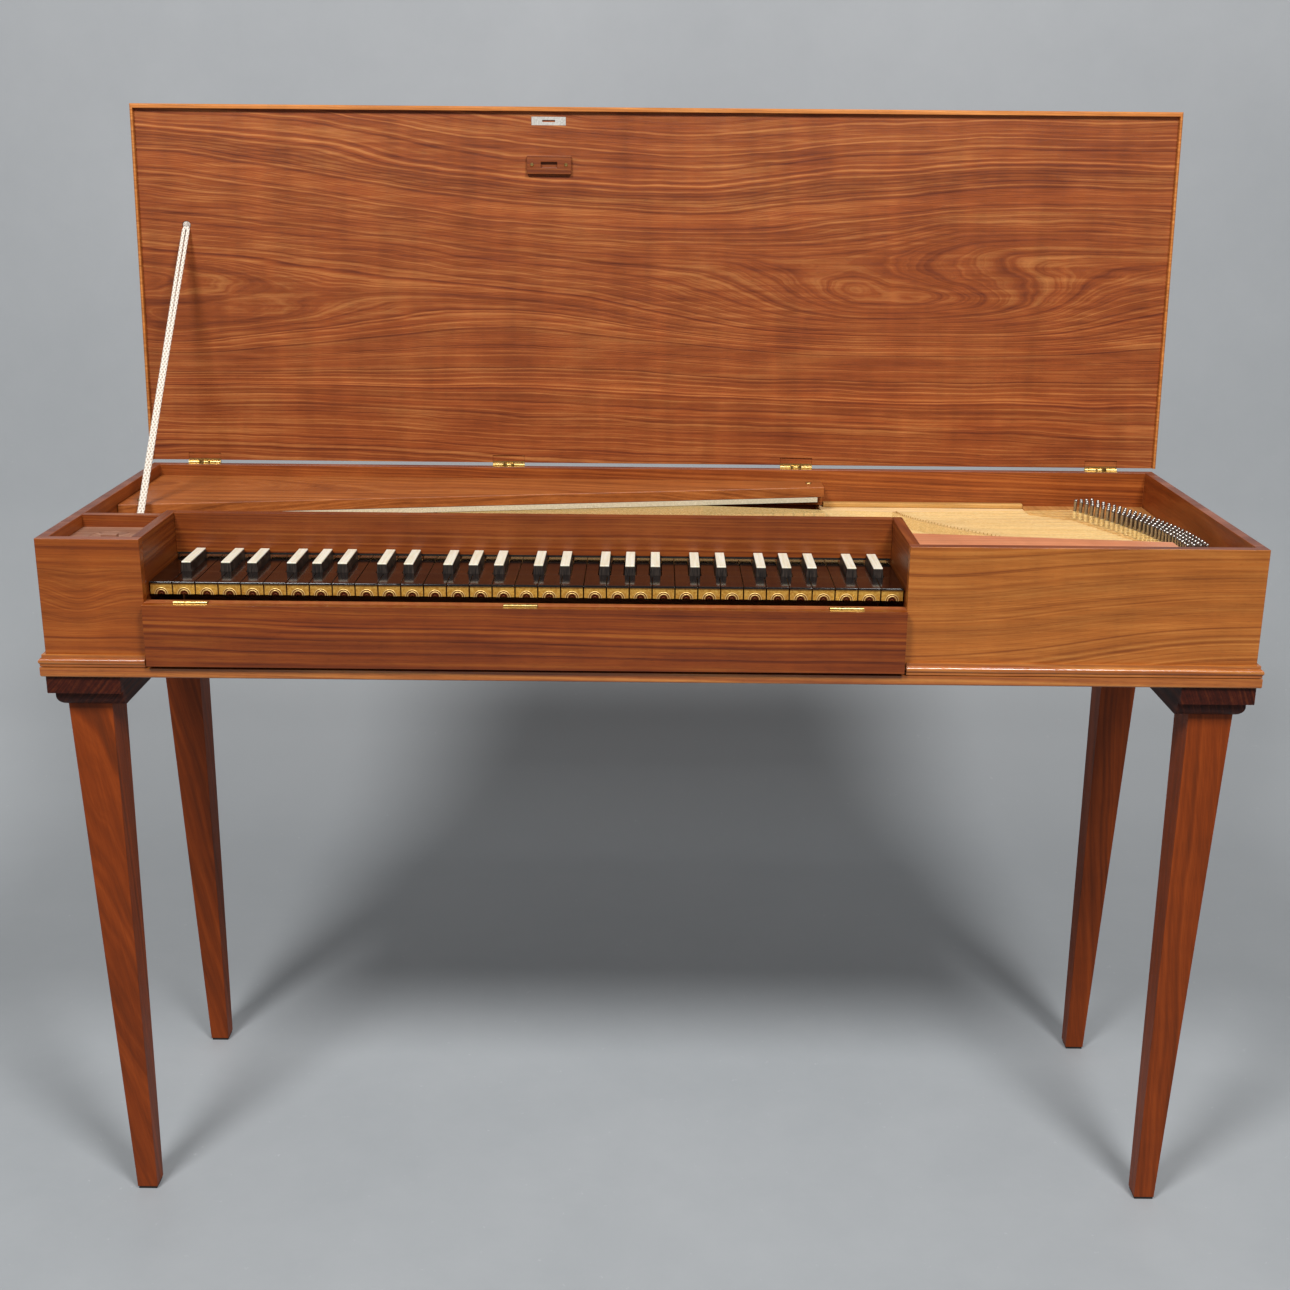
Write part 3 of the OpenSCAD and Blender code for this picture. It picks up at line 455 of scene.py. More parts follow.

# Walls of the case: four boards of walnut 11 mm thick, mitred and glued at the corners.
# The front is cut away for the keys. The rim's edges are eased with sandpaper. The rim's top faces get a
# darker, pinker walnut than the walls: painted shade, with a painted pinkish sheen.
walnut_end = wood(
    "walnut_end", "y", "642a0e", "8a4418", "a45c28", line_gap=0.0035, pith=(0.5, 0.62), tilt=(0, 0.02),
    seed=1.7,
)
walnut_front = wood(
    "walnut_front", "x", "7e4014", "a25c22", "b87434", line_gap=0.004, pith=(0, -0.5), tilt=(0, 0.02),
    wander=0.008, gloss=0.36, seed=28.4,
    swells=((0.64, 0.61, 0.26, 0.13, -0.06), (0.3, 0.71, 0.14, 0.08, 0.012)),
)
walnut_bass = wood(
    "walnut_bass", "x", "6e300c", "8e4614", "a45c24", line_gap=0.004, pith=(0, -0.5), tilt=(0, 0.02),
    wander=0.012, gloss=0.36, seed=28.4, swells=((-0.573, 0.698, 0.03, 0.026, 0.014),),
)
walls_wood = {
    "front_left": walnut_bass, "front_right": walnut_front, "spine": walnut_long, "end_left": walnut_end,
    "end_right": walnut_end,
}
walls = []
for wall in ("front_left", "front_right", "spine", "end_left", "end_right"):
    piece = skin_of(wall, wall + "_board")
    paint(piece, walls_wood[wall])
    walls.append(piece)
case_walls = joined("case_walls", walls)
bpy.ops.object.mode_set(mode="EDIT")
bpy.ops.mesh.select_all(action="SELECT")
bpy.ops.mesh.remove_doubles(threshold=0.00002)
bpy.ops.mesh.select_all(action="DESELECT")
bpy.ops.mesh.select_interior_faces()
bpy.ops.mesh.delete(type="FACE")
bpy.ops.object.mode_set(mode="OBJECT")
# Painted shade and sheen: the upward faces of the rim are painted darker and pinker than the walls below
# them.
rim_painted_shade_wood = wood(
    "rim_painted_shade_wood", "x", "5c2a18", "784028", "90563e", line_gap=0.0035, pith=(0.0, -0.6), wander=0.008,
    gloss=0.4, seed=31.8,
)
case_walls.data.materials.append(rim_painted_shade_wood)
for face in case_walls.data.polygons:
    if face.normal.z > 0.9 and face.center.z > lid_hinge_z - 0.001:
        face.material_index = len(case_walls.data.materials) - 1
ease(case_walls, 0.0009, 3)
fit(case_walls, "case", "walnut", "front_left", "front_right", "spine", "end_left", "end_right")

# Key well: the rail below the keys, a cheek at each side, and the nameboard behind, all of
# darker walnut. The nameboard is left plain. It lifts out between the cheeks.
dark_walnut_long = wood(
    "dark_walnut_long", "x", "5c240c", "7e3c14", "965422", line_gap=0.003, pith=(0.0, -0.4),
    tilt=(0.02, 0.01), wander=0.008, gloss=0.38, seed=5.3,
)
dark_walnut_deep = wood(
    "dark_walnut_deep", "y", "541f0a", "743610", "8c4c1e", line_gap=0.003, pith=(0.0, -0.4),
    wander=0.008, gloss=0.36, seed=6.1,
)
rail_wood = wood(
    "rail_wood", "x", "7c3a18", "96502a", "b06a42", line_gap=0.003, pith=(0.2, 0.6), gloss=0.4,
    seed=8.8,
)
eased_copy("front_rail", "case", "walnut", rail_wood, 0.0006)
eased_copy("nameboard", "case", "dark_walnut", dark_walnut_long, 0.0007)
for cheek in ("cheek_left", "cheek_right"):
    eased_copy(cheek, "case", "dark_walnut", dark_walnut_deep, 0.0008, 3)

# Toolbox at the bass end: a shallow tray behind the front wall, with a loose lid of its own.
# The lid is turned out to a dish that leaves a small block to lift it by.
# Its greyish pink tones are partly a painted satin sheen.
box_wood_and_sheen = wood(
    "box_wood_and_sheen", "x", "6c4432", "906650", "a87e66", line_gap=0.003, pith=(0.2, 0.64), gloss=0.42,
    seed=9.4,
)
eased_copy("toolbox_tray", "case", "dark_walnut", dark_walnut_long, 0.0005)
box_lid = eased_copy("toolbox_lid", "toolbox_lid", "dark_walnut", box_wood_and_sheen, 0.0005)
box_lid.data.materials.append(dark_walnut_deep)
box_low, box_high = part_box("toolbox_lid")
for face in box_lid.data.polygons:
    aside = face.center - (box_low + box_high) / 2
    if abs(aside.x) < 0.0086 and abs(aside.y) < 0.0046 and face.center.z > box_high.z - 0.0058:
        face.material_index = 1

# Beech rails under the keys: the balance rail with its pins, the slotted rack that guides the
# key tails, and the block that holds the hitch pins. Beech is pale with fine short flecks.
beech = wood(
    "beech", "x", "a87642", "bd8c56", "cf9f69", line_gap=0.005, pith=(0.1, 0.5), ripple=0.02, gloss=0.5,
    seed=3.3, pore_depth=0.1,
)
hitch_wood = wood(
    "hitch_wood", "x", "602e16", "743e22", "8a5030", line_gap=0.0035, pith=(0.3, 0.6), gloss=0.45,
    seed=12.5,
)
dress(beech, "balance_rail", "key_rack", "belly_rail")
dress(hitch_wood, "hitch_rail")
brass = speckled("drawn_brass", "b4924e", "d8bc80", 500, 0.33, 0.05, Metallic=1.0)
dress(brass, "balance_pins")

# Levers: each key is a beech lever that rocks on its balance pin. A brass blade, the tangent,
# stands in its tail to strike a pair of strings, and a slip of bone guides it in the rack.
key_count = 56
key_pitch = 0.023
key_left = -0.505
key_gap = 0.0007
sharp_slot = 0.0125
cover_low = 0.7122
head_front = case_front + 0.018
head_rear = head_front + 0.0425
shelf_rear = case_front + 0.136
lever_front = head_front + 0.0023
key_names = ("c", "c_sharp", "d", "d_sharp", "e", "f", "f_sharp", "g", "g_sharp", "a", "a_sharp", "b")
white_places = (0, 0, 1, 1, 2, 3, 3, 4, 4, 5, 5, 6)
sharp_pitches = (1, 3, 6, 8, 10)


def pitch_of(k):
    """Pitch class of key k, counted from C. The lowest key is an A."""
    return (9 + k) % 12


def octave_of(k):
    """Octave of key k, where the lowest three keys are in octave 0."""
    return (9 + k) // 12


def head_left(k):
    """Left edge of a natural's place in the row."""
    return key_left + key_pitch * (7 * octave_of(k) + white_places[pitch_of(k)] - 5)


def tail_span(k):
    """Left and right edge of a key's tail. C to E share three pitches, and F to B share four."""
    first, start, whites, sharps = (0, 0, 3, 2) if pitch_of(k) < 5 else (5, 3, 4, 3)
    white_tail = (whites * key_pitch - sharps * sharp_slot) / whites
    n = pitch_of(k) - first
    first_left = key_left + key_pitch * (7 * octave_of(k) + start - 5)
    left = first_left + (n - n // 2) * white_tail + n // 2 * sharp_slot
    return left, left + (sharp_slot if pitch_of(k) in sharp_pitches else white_tail)


def tangent_place(k):
    """Plan of a tangent, on the slanting line that the strings cross."""
    t = k / (key_count - 1)
    return -0.480 + 0.672 * t, case_front + 0.226 + 0.088 * t


def block(name, low, high):
    """A cube at its size and place, from its lowest to its highest corner."""
    bpy.ops.object.select_all(action="DESELECT")
    middle = [(a + b) / 2 for a, b in zip(low, high)]
    bpy.ops.mesh.primitive_cube_add(size=1, location=middle, scale=[b - a for a, b in zip(low, high)])
    bpy.ops.object.transform_apply(location=True, rotation=True, scale=True)
    made = bpy.context.object
    made.name = name
    return made


def pick_faces(piece, wanted):
    """Leaves the piece in edit mode with the faces selected whose centre and normal are wanted."""
    bpy.context.tool_settings.mesh_select_mode = (False, False, True)
    bpy.ops.object.mode_set(mode="EDIT")
    bpy.ops.mesh.select_all(action="DESELECT")
    bpy.ops.object.mode_set(mode="OBJECT")
    for face in piece.data.polygons:
        face.select = wanted(face.center, face.normal)
    bpy.ops.object.mode_set(mode="EDIT")


def cut(piece, point, normal):
    """Cuts the piece with a plane and closes it, keeping the side behind the plane's normal."""
    only(piece)
    bpy.ops.object.mode_set(mode="EDIT")
    bpy.ops.mesh.select_all(action="SELECT")
    bpy.ops.mesh.bisect(plane_co=point, plane_no=normal, use_fill=True, clear_outer=True, threshold=0.000001)
    bpy.ops.object.mode_set(mode="OBJECT")


lever_wood = wood(
    "lever_wood", "y", "a8753f", "bd8b54", "cc9c66", line_gap=0.003, pith=(0.5, 0.6), ripple=0.02,
    gloss=0.55, seed=10.9, pore_depth=0.1,
)
for pitch, key_name in enumerate(key_names):
    levers = skin_of(key_name + "_keys", key_name + "_levers")
    cut(levers, (0, 0, cover_low - 0.00005), (0, 0, 1))
    if pitch not in sharp_pitches:
        cut(levers, (0, lever_front, 0), (0, -1, 0))
    paint(levers, lever_wood)
    fit(levers, key_name + "_keys", "key_wood", key_name + "_keys")
    blades = []
    for k in range(key_count):
        if pitch_of(k) != pitch:
            continue
        sharp = pitch in sharp_pitches
        x, y = tangent_place(k)
        rise = math.sin(math.radians(1.7 if sharp else 1.5))
        top = 0.72965 - (y - case_front - (0.156 if sharp else 0.146)) * rise
        blade = block("tangent", (x - 0.0005, y - 0.0009, cover_low - 0.003), (x + 0.0005, y + 0.0009, top))
        pick_faces(blade, lambda centre, normal: normal.z > 0.5)
        bpy.ops.transform.resize(value=(0.5, 1, 1))
        bpy.ops.object.mode_set(mode="OBJECT")
        blades.append(blade)
    tangents = joined(key_name + "_tangents", blades)
    paint(tangents, brass)
    fit(tangents, key_name + "_keys", "brass")

# Painted shade below the nameboard: a black strip under its edge, just clear of the covers, that stands for
# the shadow in the gap there.
painted_shade_black = speckled("painted_shade_black", "0c0a0a", "1c1817", 800, 0.95, 0.5)
board_low, board_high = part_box("nameboard")
strip = block(
    "nameboard_shade_strip", (board_low.x + 0.001, board_low.y + 0.0005, board_low.z - 0.0022),
    (board_high.x - 0.001, board_high.y - 0.0005, board_low.z + 0.0002),
)
paint(strip, painted_shade_black)
ease(strip, 0.0006, 3)
fit(strip, "case", "cloth")

# Naturals: covers of black wood, polished like glass, each a wide head and a narrow tail that
# meet at a fine joint just before the sharps. The front edge is rounded over.
cover_high = 0.7145


def polished_ebony():
    """Near-black wood under a hard polish, with brown streaks and the joint of head and tail."""
    material, tree, shader = new_finish(
        "polished_ebony", Roughness=0.16, Coat_Weight=0.3, Coat_Roughness=0.06
    )
    here = object_place(tree)
    lane = scaled(tree, here, 260, 12, 260)
    streak = noise(tree, lane, 1, 3)
    wood_colour = ramp(tree, streak, (0.35, "080403"), (0.6, "120906"), (0.8, "20110b"))
    y = parts_of(tree, here)[1]
    off_joint = calc(tree, "ABSOLUTE", calc(tree, "SUBTRACT", y, head_rear + 0.0002))
    joint = between(tree, off_joint, 0.0003, 0.0001)
    colour = mix_colours(tree, joint, wood_colour, tint("57483d"))
    tree.links.new(colour, shader.inputs["Base Color"])
    raise_grain(tree, shader, calc(tree, "SUBTRACT", streak, joint), 0.06, 0.0002)
    return material


def natural_cover(k):
    """Cover of one natural."""
    left = head_left(k) + key_gap / 2
    right = left + key_pitch - key_gap
    tail_left, tail_right = tail_span(k)
    tail_left = left if k == 0 else tail_left + key_gap / 2
    tail_right = right if k == key_count - 1 else tail_right - key_gap / 2
    cover = block("cover", (left, head_front, cover_low), (right, head_rear, cover_high))
    bpy.ops.object.mode_set(mode="EDIT")
    for x in (tail_left, tail_right):
        if left + 0.0001 < x < right - 0.0001:
            bpy.ops.mesh.select_all(action="SELECT")
            bpy.ops.mesh.bisect(plane_co=(x, 0, 0), plane_no=(1, 0, 0), threshold=0.000001)
    bpy.ops.object.mode_set(mode="OBJECT")
    pick_faces(cover, lambda centre, normal: normal.y > 0.5 and tail_left < centre.x < tail_right)
    bpy.ops.mesh.extrude_region_move(TRANSFORM_OT_translate={"value": (0, shelf_rear - head_rear, 0)})
    bpy.ops.object.mode_set(mode="OBJECT")
    round_front(cover, head_front, cover_high, 0.0011)
    return cover


def round_front(piece, y, z, width):
    """Rounds over the edge that runs along X at the piece's front and top."""
    bpy.context.tool_settings.mesh_select_mode = (False, True, False)
    bpy.ops.object.mode_set(mode="EDIT")
    bpy.ops.mesh.select_all(action="DESELECT")
    bpy.ops.object.mode_set(mode="OBJECT")
    for edge in piece.data.edges:
        ends = [piece.data.vertices[v].co for v in edge.vertices]
        edge.select = all(abs(p.y - y) < 0.00001 and abs(p.z - z) < 0.00001 for p in ends)
    bpy.ops.object.mode_set(mode="EDIT")
    bpy.ops.mesh.bevel(offset=width, segments=3, affect="EDGES")
    bpy.ops.object.mode_set(mode="OBJECT")


def keys_of(pitch):
    """The keys of one pitch class."""
    return [k for k in range(key_count) if pitch_of(k) == pitch]


ebony = polished_ebony()
for pitch, key_name in enumerate(key_names):
    if pitch in sharp_pitches:
        continue
    covers = joined(key_name + "_covers", [natural_cover(k) for k in keys_of(pitch)])
    paint(covers, ebony)
    ease(covers, 0.00035, 2, 50)
    fit(covers, key_name + "_keys", "key_wood")

# Key fronts: thin gilt plaques, each turned with two raised half rings round a sunk red eye.
# The gold is laid on a red ground, which shows in the sunk eye and in the grooves, there deepened by painted
# shade. The ridges are painted pale gold, a painted highlight.
lever_low = 0.7012
arcade_front = head_front + 0.0013
arcade_wide = key_pitch - 0.0014
arcade_ridge = 0.0005


def gilt_arcade():
    """Gold leaf with red in the grooves, deepened by painted shade, and a pale painted highlight on the
    ridges. Each key's rings are found from its place in the row.
    """
    material, tree, shader = new_finish("gilt_arcade", Roughness=0.38, Metallic=0.55)
    here = object_place(tree)
    parts = parts_of(tree, here)
    turns = calc(tree, "MULTIPLY", calc(tree, "SUBTRACT", parts[0], key_left), 1 / key_pitch)
    aside = calc(tree, "MULTIPLY", calc(tree, "SUBTRACT", calc(tree, "FRACT", turns), 0.5), key_pitch)
    above = calc(tree, "SUBTRACT", parts[2], lever_low)
    square = calc(tree, "MULTIPLY_ADD", aside, aside, calc(tree, "MULTIPLY", above, above))
    reach = calc(tree, "SQRT", square)
    # Painted light: the rings' crowns are painted pale gold, a painted highlight, and the grooves between
    # them darker, painted shade.
    rings = ramp(
        tree, calc(tree, "MULTIPLY", reach, 100.0),
        (0.0, "4a1408"), (0.12, "b06c30"), (0.20, "4a1408"), (0.33, "5a1c0a"),
        (0.40, "a06a2a"), (0.44, "f4d488"), (0.49, "f4d488"), (0.53, "8a4c1c"),
        (0.60, "a06a2a"), (0.635, "f4d488"), (0.69, "f4d488"), (0.74, "b8842e"),
    )
    mottle = noise(tree, here, 420, 4, 0.65)
    ground = ramp(tree, mottle, (0.35, "c08a36"), (0.5, "dcaa4c"), (0.65, "ecc060"))
    beyond = between(tree, reach, 0.0073, 0.0079)
    tree.links.new(mix_colours(tree, beyond, rings, ground), shader.inputs["Base Color"])
    raise_grain(tree, shader, mottle, 0.25, 0.0002)
    return material


def half_ring(radius, thickness, segments):
    """A ridge of round section, standing in the plaque, cut level with the plaque's foot."""
    bpy.ops.object.select_all(action="DESELECT")
    bpy.ops.mesh.primitive_torus_add(
        major_radius=radius, minor_radius=thickness, major_segments=segments, minor_segments=8,
        location=(0, arcade_front, lever_low), rotation=(math.pi / 2, 0, 0),
    )
    bpy.ops.object.transform_apply(location=True, rotation=True, scale=True)
    ring = bpy.context.object
    cut(ring, (0, 0, lever_low), (0, 0, -1))
    return ring


plaque = block(
    "plaque", (-arcade_wide / 2, arcade_front, lever_low), (arcade_wide / 2, lever_front, cover_low)
)
bpy.ops.object.select_all(action="DESELECT")
bpy.ops.mesh.primitive_cylinder_add(
    vertices=32, radius=0.0033, depth=0.0012,
    location=(0, arcade_front, lever_low), rotation=(math.pi / 2, 0, 0),
)
bpy.ops.object.transform_apply(location=True, rotation=True, scale=True)
eye = bpy.context.object
only(plaque)
sinking = plaque.modifiers.new("sunk_eye", "BOOLEAN")
sinking.object = eye
sinking.solver = "EXACT"
bpy.ops.object.modifier_apply(modifier=sinking.name)
bpy.data.objects.remove(eye)
ease(plaque, 0.0002, 1, 50)
rings = [
    half_ring(0.00665, arcade_ridge, 32),
    half_ring(0.0047, arcade_ridge, 28),
    half_ring(0.0017, 0.0004, 16),
]
for ring in rings:
    only(ring)
    bpy.ops.object.shade_smooth_by_angle(angle=math.radians(50))
arcade = joined("arcade", [plaque] + rings)
paint(arcade, gilt_arcade())


def set_out(pattern, name, places):
    """One piece made of copies of a pattern, each with its own mesh, put in place by a matrix."""
    copies = []
    for place in places:
        made = bpy.data.objects.new(name, pattern.data.copy())
        made.data.transform(place)
        bpy.context.collection.objects.link(made)
        copies.append(made)
    return joined(name, copies)


for pitch, key_name in enumerate(key_names):
    if pitch not in sharp_pitches:
        fronts = set_out(
            arcade, key_name + "_fronts",
            [Matrix.Translation((head_left(k) + key_pitch / 2, 0, 0)) for k in keys_of(pitch)],
        )
        fit(fronts, key_name + "_keys", "brass")
bpy.data.objects.remove(arcade)

# Sharps: blocks of black-stained wood, narrower at the top, with the pores still open.
# A slip of bone with softly rounded edges is glued along the top of each.
sharp_front = head_rear + 0.0009
sharp_rear = case_front + 0.122
sharp_half = 0.00575
sharp_high = 0.7245
slip_thick = 0.0015
sharp_block = block(
    "sharp_block", (-sharp_half, sharp_front, cover_low), (sharp_half, sharp_rear, sharp_high - slip_thick)
)
pick_faces(sharp_block, lambda centre, normal: normal.z > 0.5)
bpy.ops.transform.resize(value=((sharp_half - 0.0008) / sharp_half, 1, 1))
bpy.ops.object.mode_set(mode="OBJECT")
ease(sharp_block, 0.0003)
bone_slip = block(
    "bone_slip", (0.001 - sharp_half, sharp_front + 0.0002, sharp_high - slip_thick),
    (sharp_half - 0.001, sharp_rear - 0.0002, sharp_high),
)
ease(bone_slip, 0.0005, 3)


def stained_black():
    """Black-stained pear wood with upright pores."""
    material, tree, shader = new_finish("stained_black", Roughness=0.42)
    lane = scaled(tree, object_place(tree), 1300, 90, 90)
    pores = noise(tree, lane, 1)
    tree.links.new(ramp(tree, pores, (0.4, "161210"), (0.7, "453a33")), shader.inputs["Base Color"])
    raise_grain(tree, shader, pores, 0.3, 0.0002)
    return material


def polished_bone():
    """Cream bone with faint lengthwise streaks and tiny dark pores."""
    material, tree, shader = new_finish("polished_bone", Roughness=0.32, Subsurface_Weight=0.08)
    here = object_place(tree)
    lane = scaled(tree, here, 420, 22, 420)
    streak = noise(tree, lane, 1, 3)
    dots = noise(tree, here, 2600, 1)
    pores = between(tree, dots, 0.62, 0.72)
    plain = ramp(tree, streak, (0.3, "e2d3b6"), (0.7, "f4ecda"))
    colour = mix_colours(tree, calc(tree, "MULTIPLY", pores, 0.35), plain, tint("b39c78"))
    tree.links.new(colour, shader.inputs["Base Color"])
    raise_grain(tree, shader, streak, 0.08, 0.0002)
    return material


paint(sharp_block, stained_black())
paint(bone_slip, polished_bone())
for pitch in sharp_pitches:
    places = [Matrix.Translation((sum(tail_span(k)) / 2, 0, 0)) for k in keys_of(pitch)]
    fit(set_out(sharp_block, key_names[pitch] + "_blocks", places), key_names[pitch] + "_keys", "key_wood")
    fit(set_out(bone_slip, key_names[pitch] + "_slips", places), key_names[pitch] + "_keys", "key_wood")
bpy.data.objects.remove(sharp_block)
bpy.data.objects.remove(bone_slip)

# Soundboard: thin quartered spruce, varnished golden, with straight close grain. A spruce strip
# lies along the spine, and the pear bridge stands on the board under the strings.
spruce = wood(
    "spruce", "x", "e2b87c", "f0d098", "f8deb2", line_gap=0.0016, pith=(2.0, 0.4), tilt=(0.02, 0),
    wander=0.002, ripple=0.02, gloss=0.3, seed=13.7, pore_depth=0.04,
)
strip_wood = wood(
    "strip_wood", "x", "a8743a", "c2904e", "d4a562", line_gap=0.002, pith=(0.3, 0.6), ripple=0.02,
    gloss=0.4, seed=14.2,
)
bridge_wood = wood(
    "bridge_wood", "y", "9a6634", "b07c46", "c29058", line_gap=0.003, pith=(0.5, 0.6), ripple=0.03,
    gloss=0.35, seed=15.1,
)
dress(spruce, "soundboard")
eased_copy("soundboard_moulding", "case", "spruce", strip_wood, 0.0015)
eased_copy("bridge", "case", "beech", bridge_wood, 0.0012, 3)

# Wrest plank: a thick block of oak-brown wood along the treble end, whose left edge curves.
# It is varnished on top and holds the tuning pins.
plank_wood = wood(
    "plank_wood", "y", "9a6434", "ba8044", "d09a5c", line_gap=0.003, pith=(0.45, 0.6),
    tilt=(0.02, 0.02), gloss=0.32, seed=16.6,
)
eased_copy("wrest_plank", "case", "beech", plank_wood, 0.0008)

# Tuning pins: steel, driven into the plank in four ranks, with heads hammered flat for the key.
# Each winds up its string in a close brass coil just above the wood.
plank_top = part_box("wrest_plank")[1].z
pin_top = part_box("tuning_pins")[1].z
coil_high = 0.7285


def loose_parts(cad_node):
    """Copies of the loose parts that a CAD node's mesh is made of."""
    piece = skin_of(cad_node, cad_node + "_part")
    bpy.ops.object.mode_set(mode="EDIT")
    bpy.ops.mesh.select_all(action="SELECT")
    bpy.ops.mesh.separate(type="LOOSE")
    bpy.ops.object.mode_set(mode="OBJECT")
    return [part for part in bpy.context.selected_objects if part.type == "MESH"]


def middles_of(cad_node):
    """Middle of each loose part of a CAD node, from left to right."""
    middles = []
    for part in loose_parts(cad_node):
        corners = [vertex.co for vertex in part.data.vertices]
        low = [min(p[i] for p in corners) for i in range(3)]
        high = [max(p[i] for p in corners) for i in range(3)]
        middles.append(Vector([(a + b) / 2 for a, b in zip(low, high)]))
        bpy.data.objects.remove(part)
    return sorted(middles, key=lambda p: (p.x, p.y))


def turned(name, sides, outline):
    """A closed turned shape on the Z axis, from its outline of (radius, height) going up."""
    bpy.ops.object.select_all(action="DESELECT")
    radius, low = outline[0]
    bpy.ops.mesh.primitive_circle_add(vertices=sides, radius=radius, fill_type="NGON", location=(0, 0, low))
    bpy.ops.object.transform_apply(location=True, rotation=True, scale=True)
    made = bpy.context.object
    made.name = name
    bpy.ops.object.mode_set(mode="EDIT")
    bpy.ops.mesh.select_all(action="SELECT")
    for next_radius, height in outline[1:]:
        bpy.ops.mesh.extrude_region_move(TRANSFORM_OT_translate={"value": (0, 0, height - low)})
        growth = next_radius / radius
        bpy.ops.transform.resize(value=(growth, growth, 1), center_override=(0, 0, height))
        radius, low = next_radius, height
    bpy.ops.mesh.select_all(action="SELECT")
    bpy.ops.mesh.normals_make_consistent(inside=False)
    bpy.ops.object.mode_set(mode="OBJECT")
    bpy.ops.object.shade_smooth_by_angle(angle=math.radians(50))
    return made


pin = turned("pin", 10, [
    (0.0019, plank_top - 0.002), (0.0019, pin_top - 0.0106), (0.0018, pin_top - 0.0096),
    (0.0023, pin_top - 0.0016), (0.0023, pin_top + 0.0002), (0.0016, pin_top + 0.0012),
    (0.0007, pin_top + 0.0015),
])
for vertex in pin.data.vertices:
    if vertex.co.z > pin_top - 0.009:
        vertex.co.y *= 0.8
coil = turned("coil", 8, [
    (0.00178, coil_high - 0.0078), (0.0025, coil_high - 0.0073), (0.0023, coil_high - 0.0062),
    (0.0025, coil_high - 0.0050), (0.0023, coil_high - 0.0038), (0.0025, coil_high - 0.0026),
    (0.0023, coil_high - 0.0014), (0.0025, coil_high - 0.0003), (0.00178, coil_high + 0.0002),
])
turns = random.Random(5)
pin_places = [
    Matrix.Translation((p.x, p.y, 0)) @ Matrix.Rotation(turns.uniform(0, math.pi), 4, "Z")
    for p in middles_of("tuning_pins")
]
paint(pin, steel)
wound_brass, tree, shader = new_finish("wound_brass", Roughness=0.35, Metallic=0.2)
wire_pitch = 0.0006
height = parts_of(tree, object_place(tree))[2]
turns_up = calc(tree, "SINE", calc(tree, "MULTIPLY", height, math.tau / wire_pitch))
# Painted light: each turn of wire is painted pale on its crown and darker in the crease between turns, a
# painted highlight and painted shade.
wire_highlight_and_shade = calc(tree, "MULTIPLY_ADD", turns_up, 0.5, 0.5)
tree.links.new(ramp(tree, wire_highlight_and_shade, (0.0, "c09040"), (0.6, "fce09a")), shader.inputs["Base Color"])
raise_grain(tree, shader, turns_up, 0.5, 0.0002)
paint(coil, wound_brass)
fit(set_out(pin, "tuning_pins_turned", pin_places), "case", "steel", "tuning_pins")
fit(set_out(coil, "string_coils", pin_places), "case", "brass")
bpy.data.objects.remove(pin)
bpy.data.objects.remove(coil)

# Strings: a pair of thin brass wires for each key, from the hitch pins over the bridge to the
# tuning pins. The small brass pins on the bridge hold each pair apart.
string_brass = speckled("string_brass", "e6c478", "fae2a4", 300, 0.4, 0.0, Metallic=0.3)
wires = skin_of("strings", "fine_strings")
bpy.ops.object.mode_set(mode="EDIT")
bpy.ops.mesh.select_all(action="SELECT")
bpy.ops.transform.shrink_fatten(value=-0.00008, use_even_offset=True)
bpy.ops.object.mode_set(mode="OBJECT")
paint(wires, string_brass)
fit(wires, "case", "brass", "strings")
dress(brass, "string_pins")

# Listing: a strip of cream felt laid among the strings left of the tangents, which damps them.
# Beside it the over-rail is screwed down, a walnut board that covers the strings' dead ends.
felt = speckled("listing_felt", "b9ad8e", "d6ccb0", 700, 0.95, 0.6)
felt.node_tree.nodes["Principled BSDF"].inputs["Sheen Weight"].default_value = 0.5
dress(felt, "listing_cloth")
cover_wood = wood(
    "cover_wood", "x", "743a16", "965222", "ac6832", line_gap=0.003, pith=(0.1, 0.62),
    tilt=(0.06, 0.03), gloss=0.4, seed=18.2,
)
eased_copy("over_rail", "case", "dark_walnut", cover_wood, 0.0012, 3)


def slotted_screw(name, radius, height):
    """A domed screw head with a slot, standing on the ground plane."""
    head = turned(name, 20, [
        (radius, -0.0006), (radius, height * 0.25), (radius * 0.86, height * 0.7), (radius * 0.5, height),
    ])
    half_long, half_wide = radius * 1.2, radius * 0.13
    slot = block("slot", (-half_long, -half_wide, height * 0.45), (half_long, half_wide, height * 2))
    only(head)
    sawing = head.modifiers.new("slot", "BOOLEAN")
    sawing.object = slot
    sawing.solver = "EXACT"
    bpy.ops.object.modifier_apply(modifier=sawing.name)
    bpy.data.objects.remove(slot)
    return head


rail_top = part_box("over_rail")[1].z
screw = slotted_screw("screw", 0.0042, 0.0016)
paint(screw, brass)
fit(set_out(screw, "over_rail_screw_heads", [
    Matrix.Translation((-0.579, case_front + 0.246, rail_top)) @ Matrix.Rotation(0.5, 4, "Z"),
    Matrix.Translation((0.189, case_front + 0.380, rail_top)) @ Matrix.Rotation(1.3, 4, "Z"),
]), "case", "brass", "over_rail_screws")
bpy.data.objects.remove(screw)

# Board at the treble end: a thin shelf of pinkish wood between the keys and the right wall.
# It rests on the belly rail and the wrest plank, and covers the end of the soundboard well.
shelf_wood = wood(
    "shelf_wood", "x", "b06a48", "c8805a", "d8966c", line_gap=0.003, pith=(0.4, 0.62), gloss=0.42,
    seed=20.4,
)
eased_copy("front_board", "case", "pink_wood", shelf_wood, 0.0008, 3)

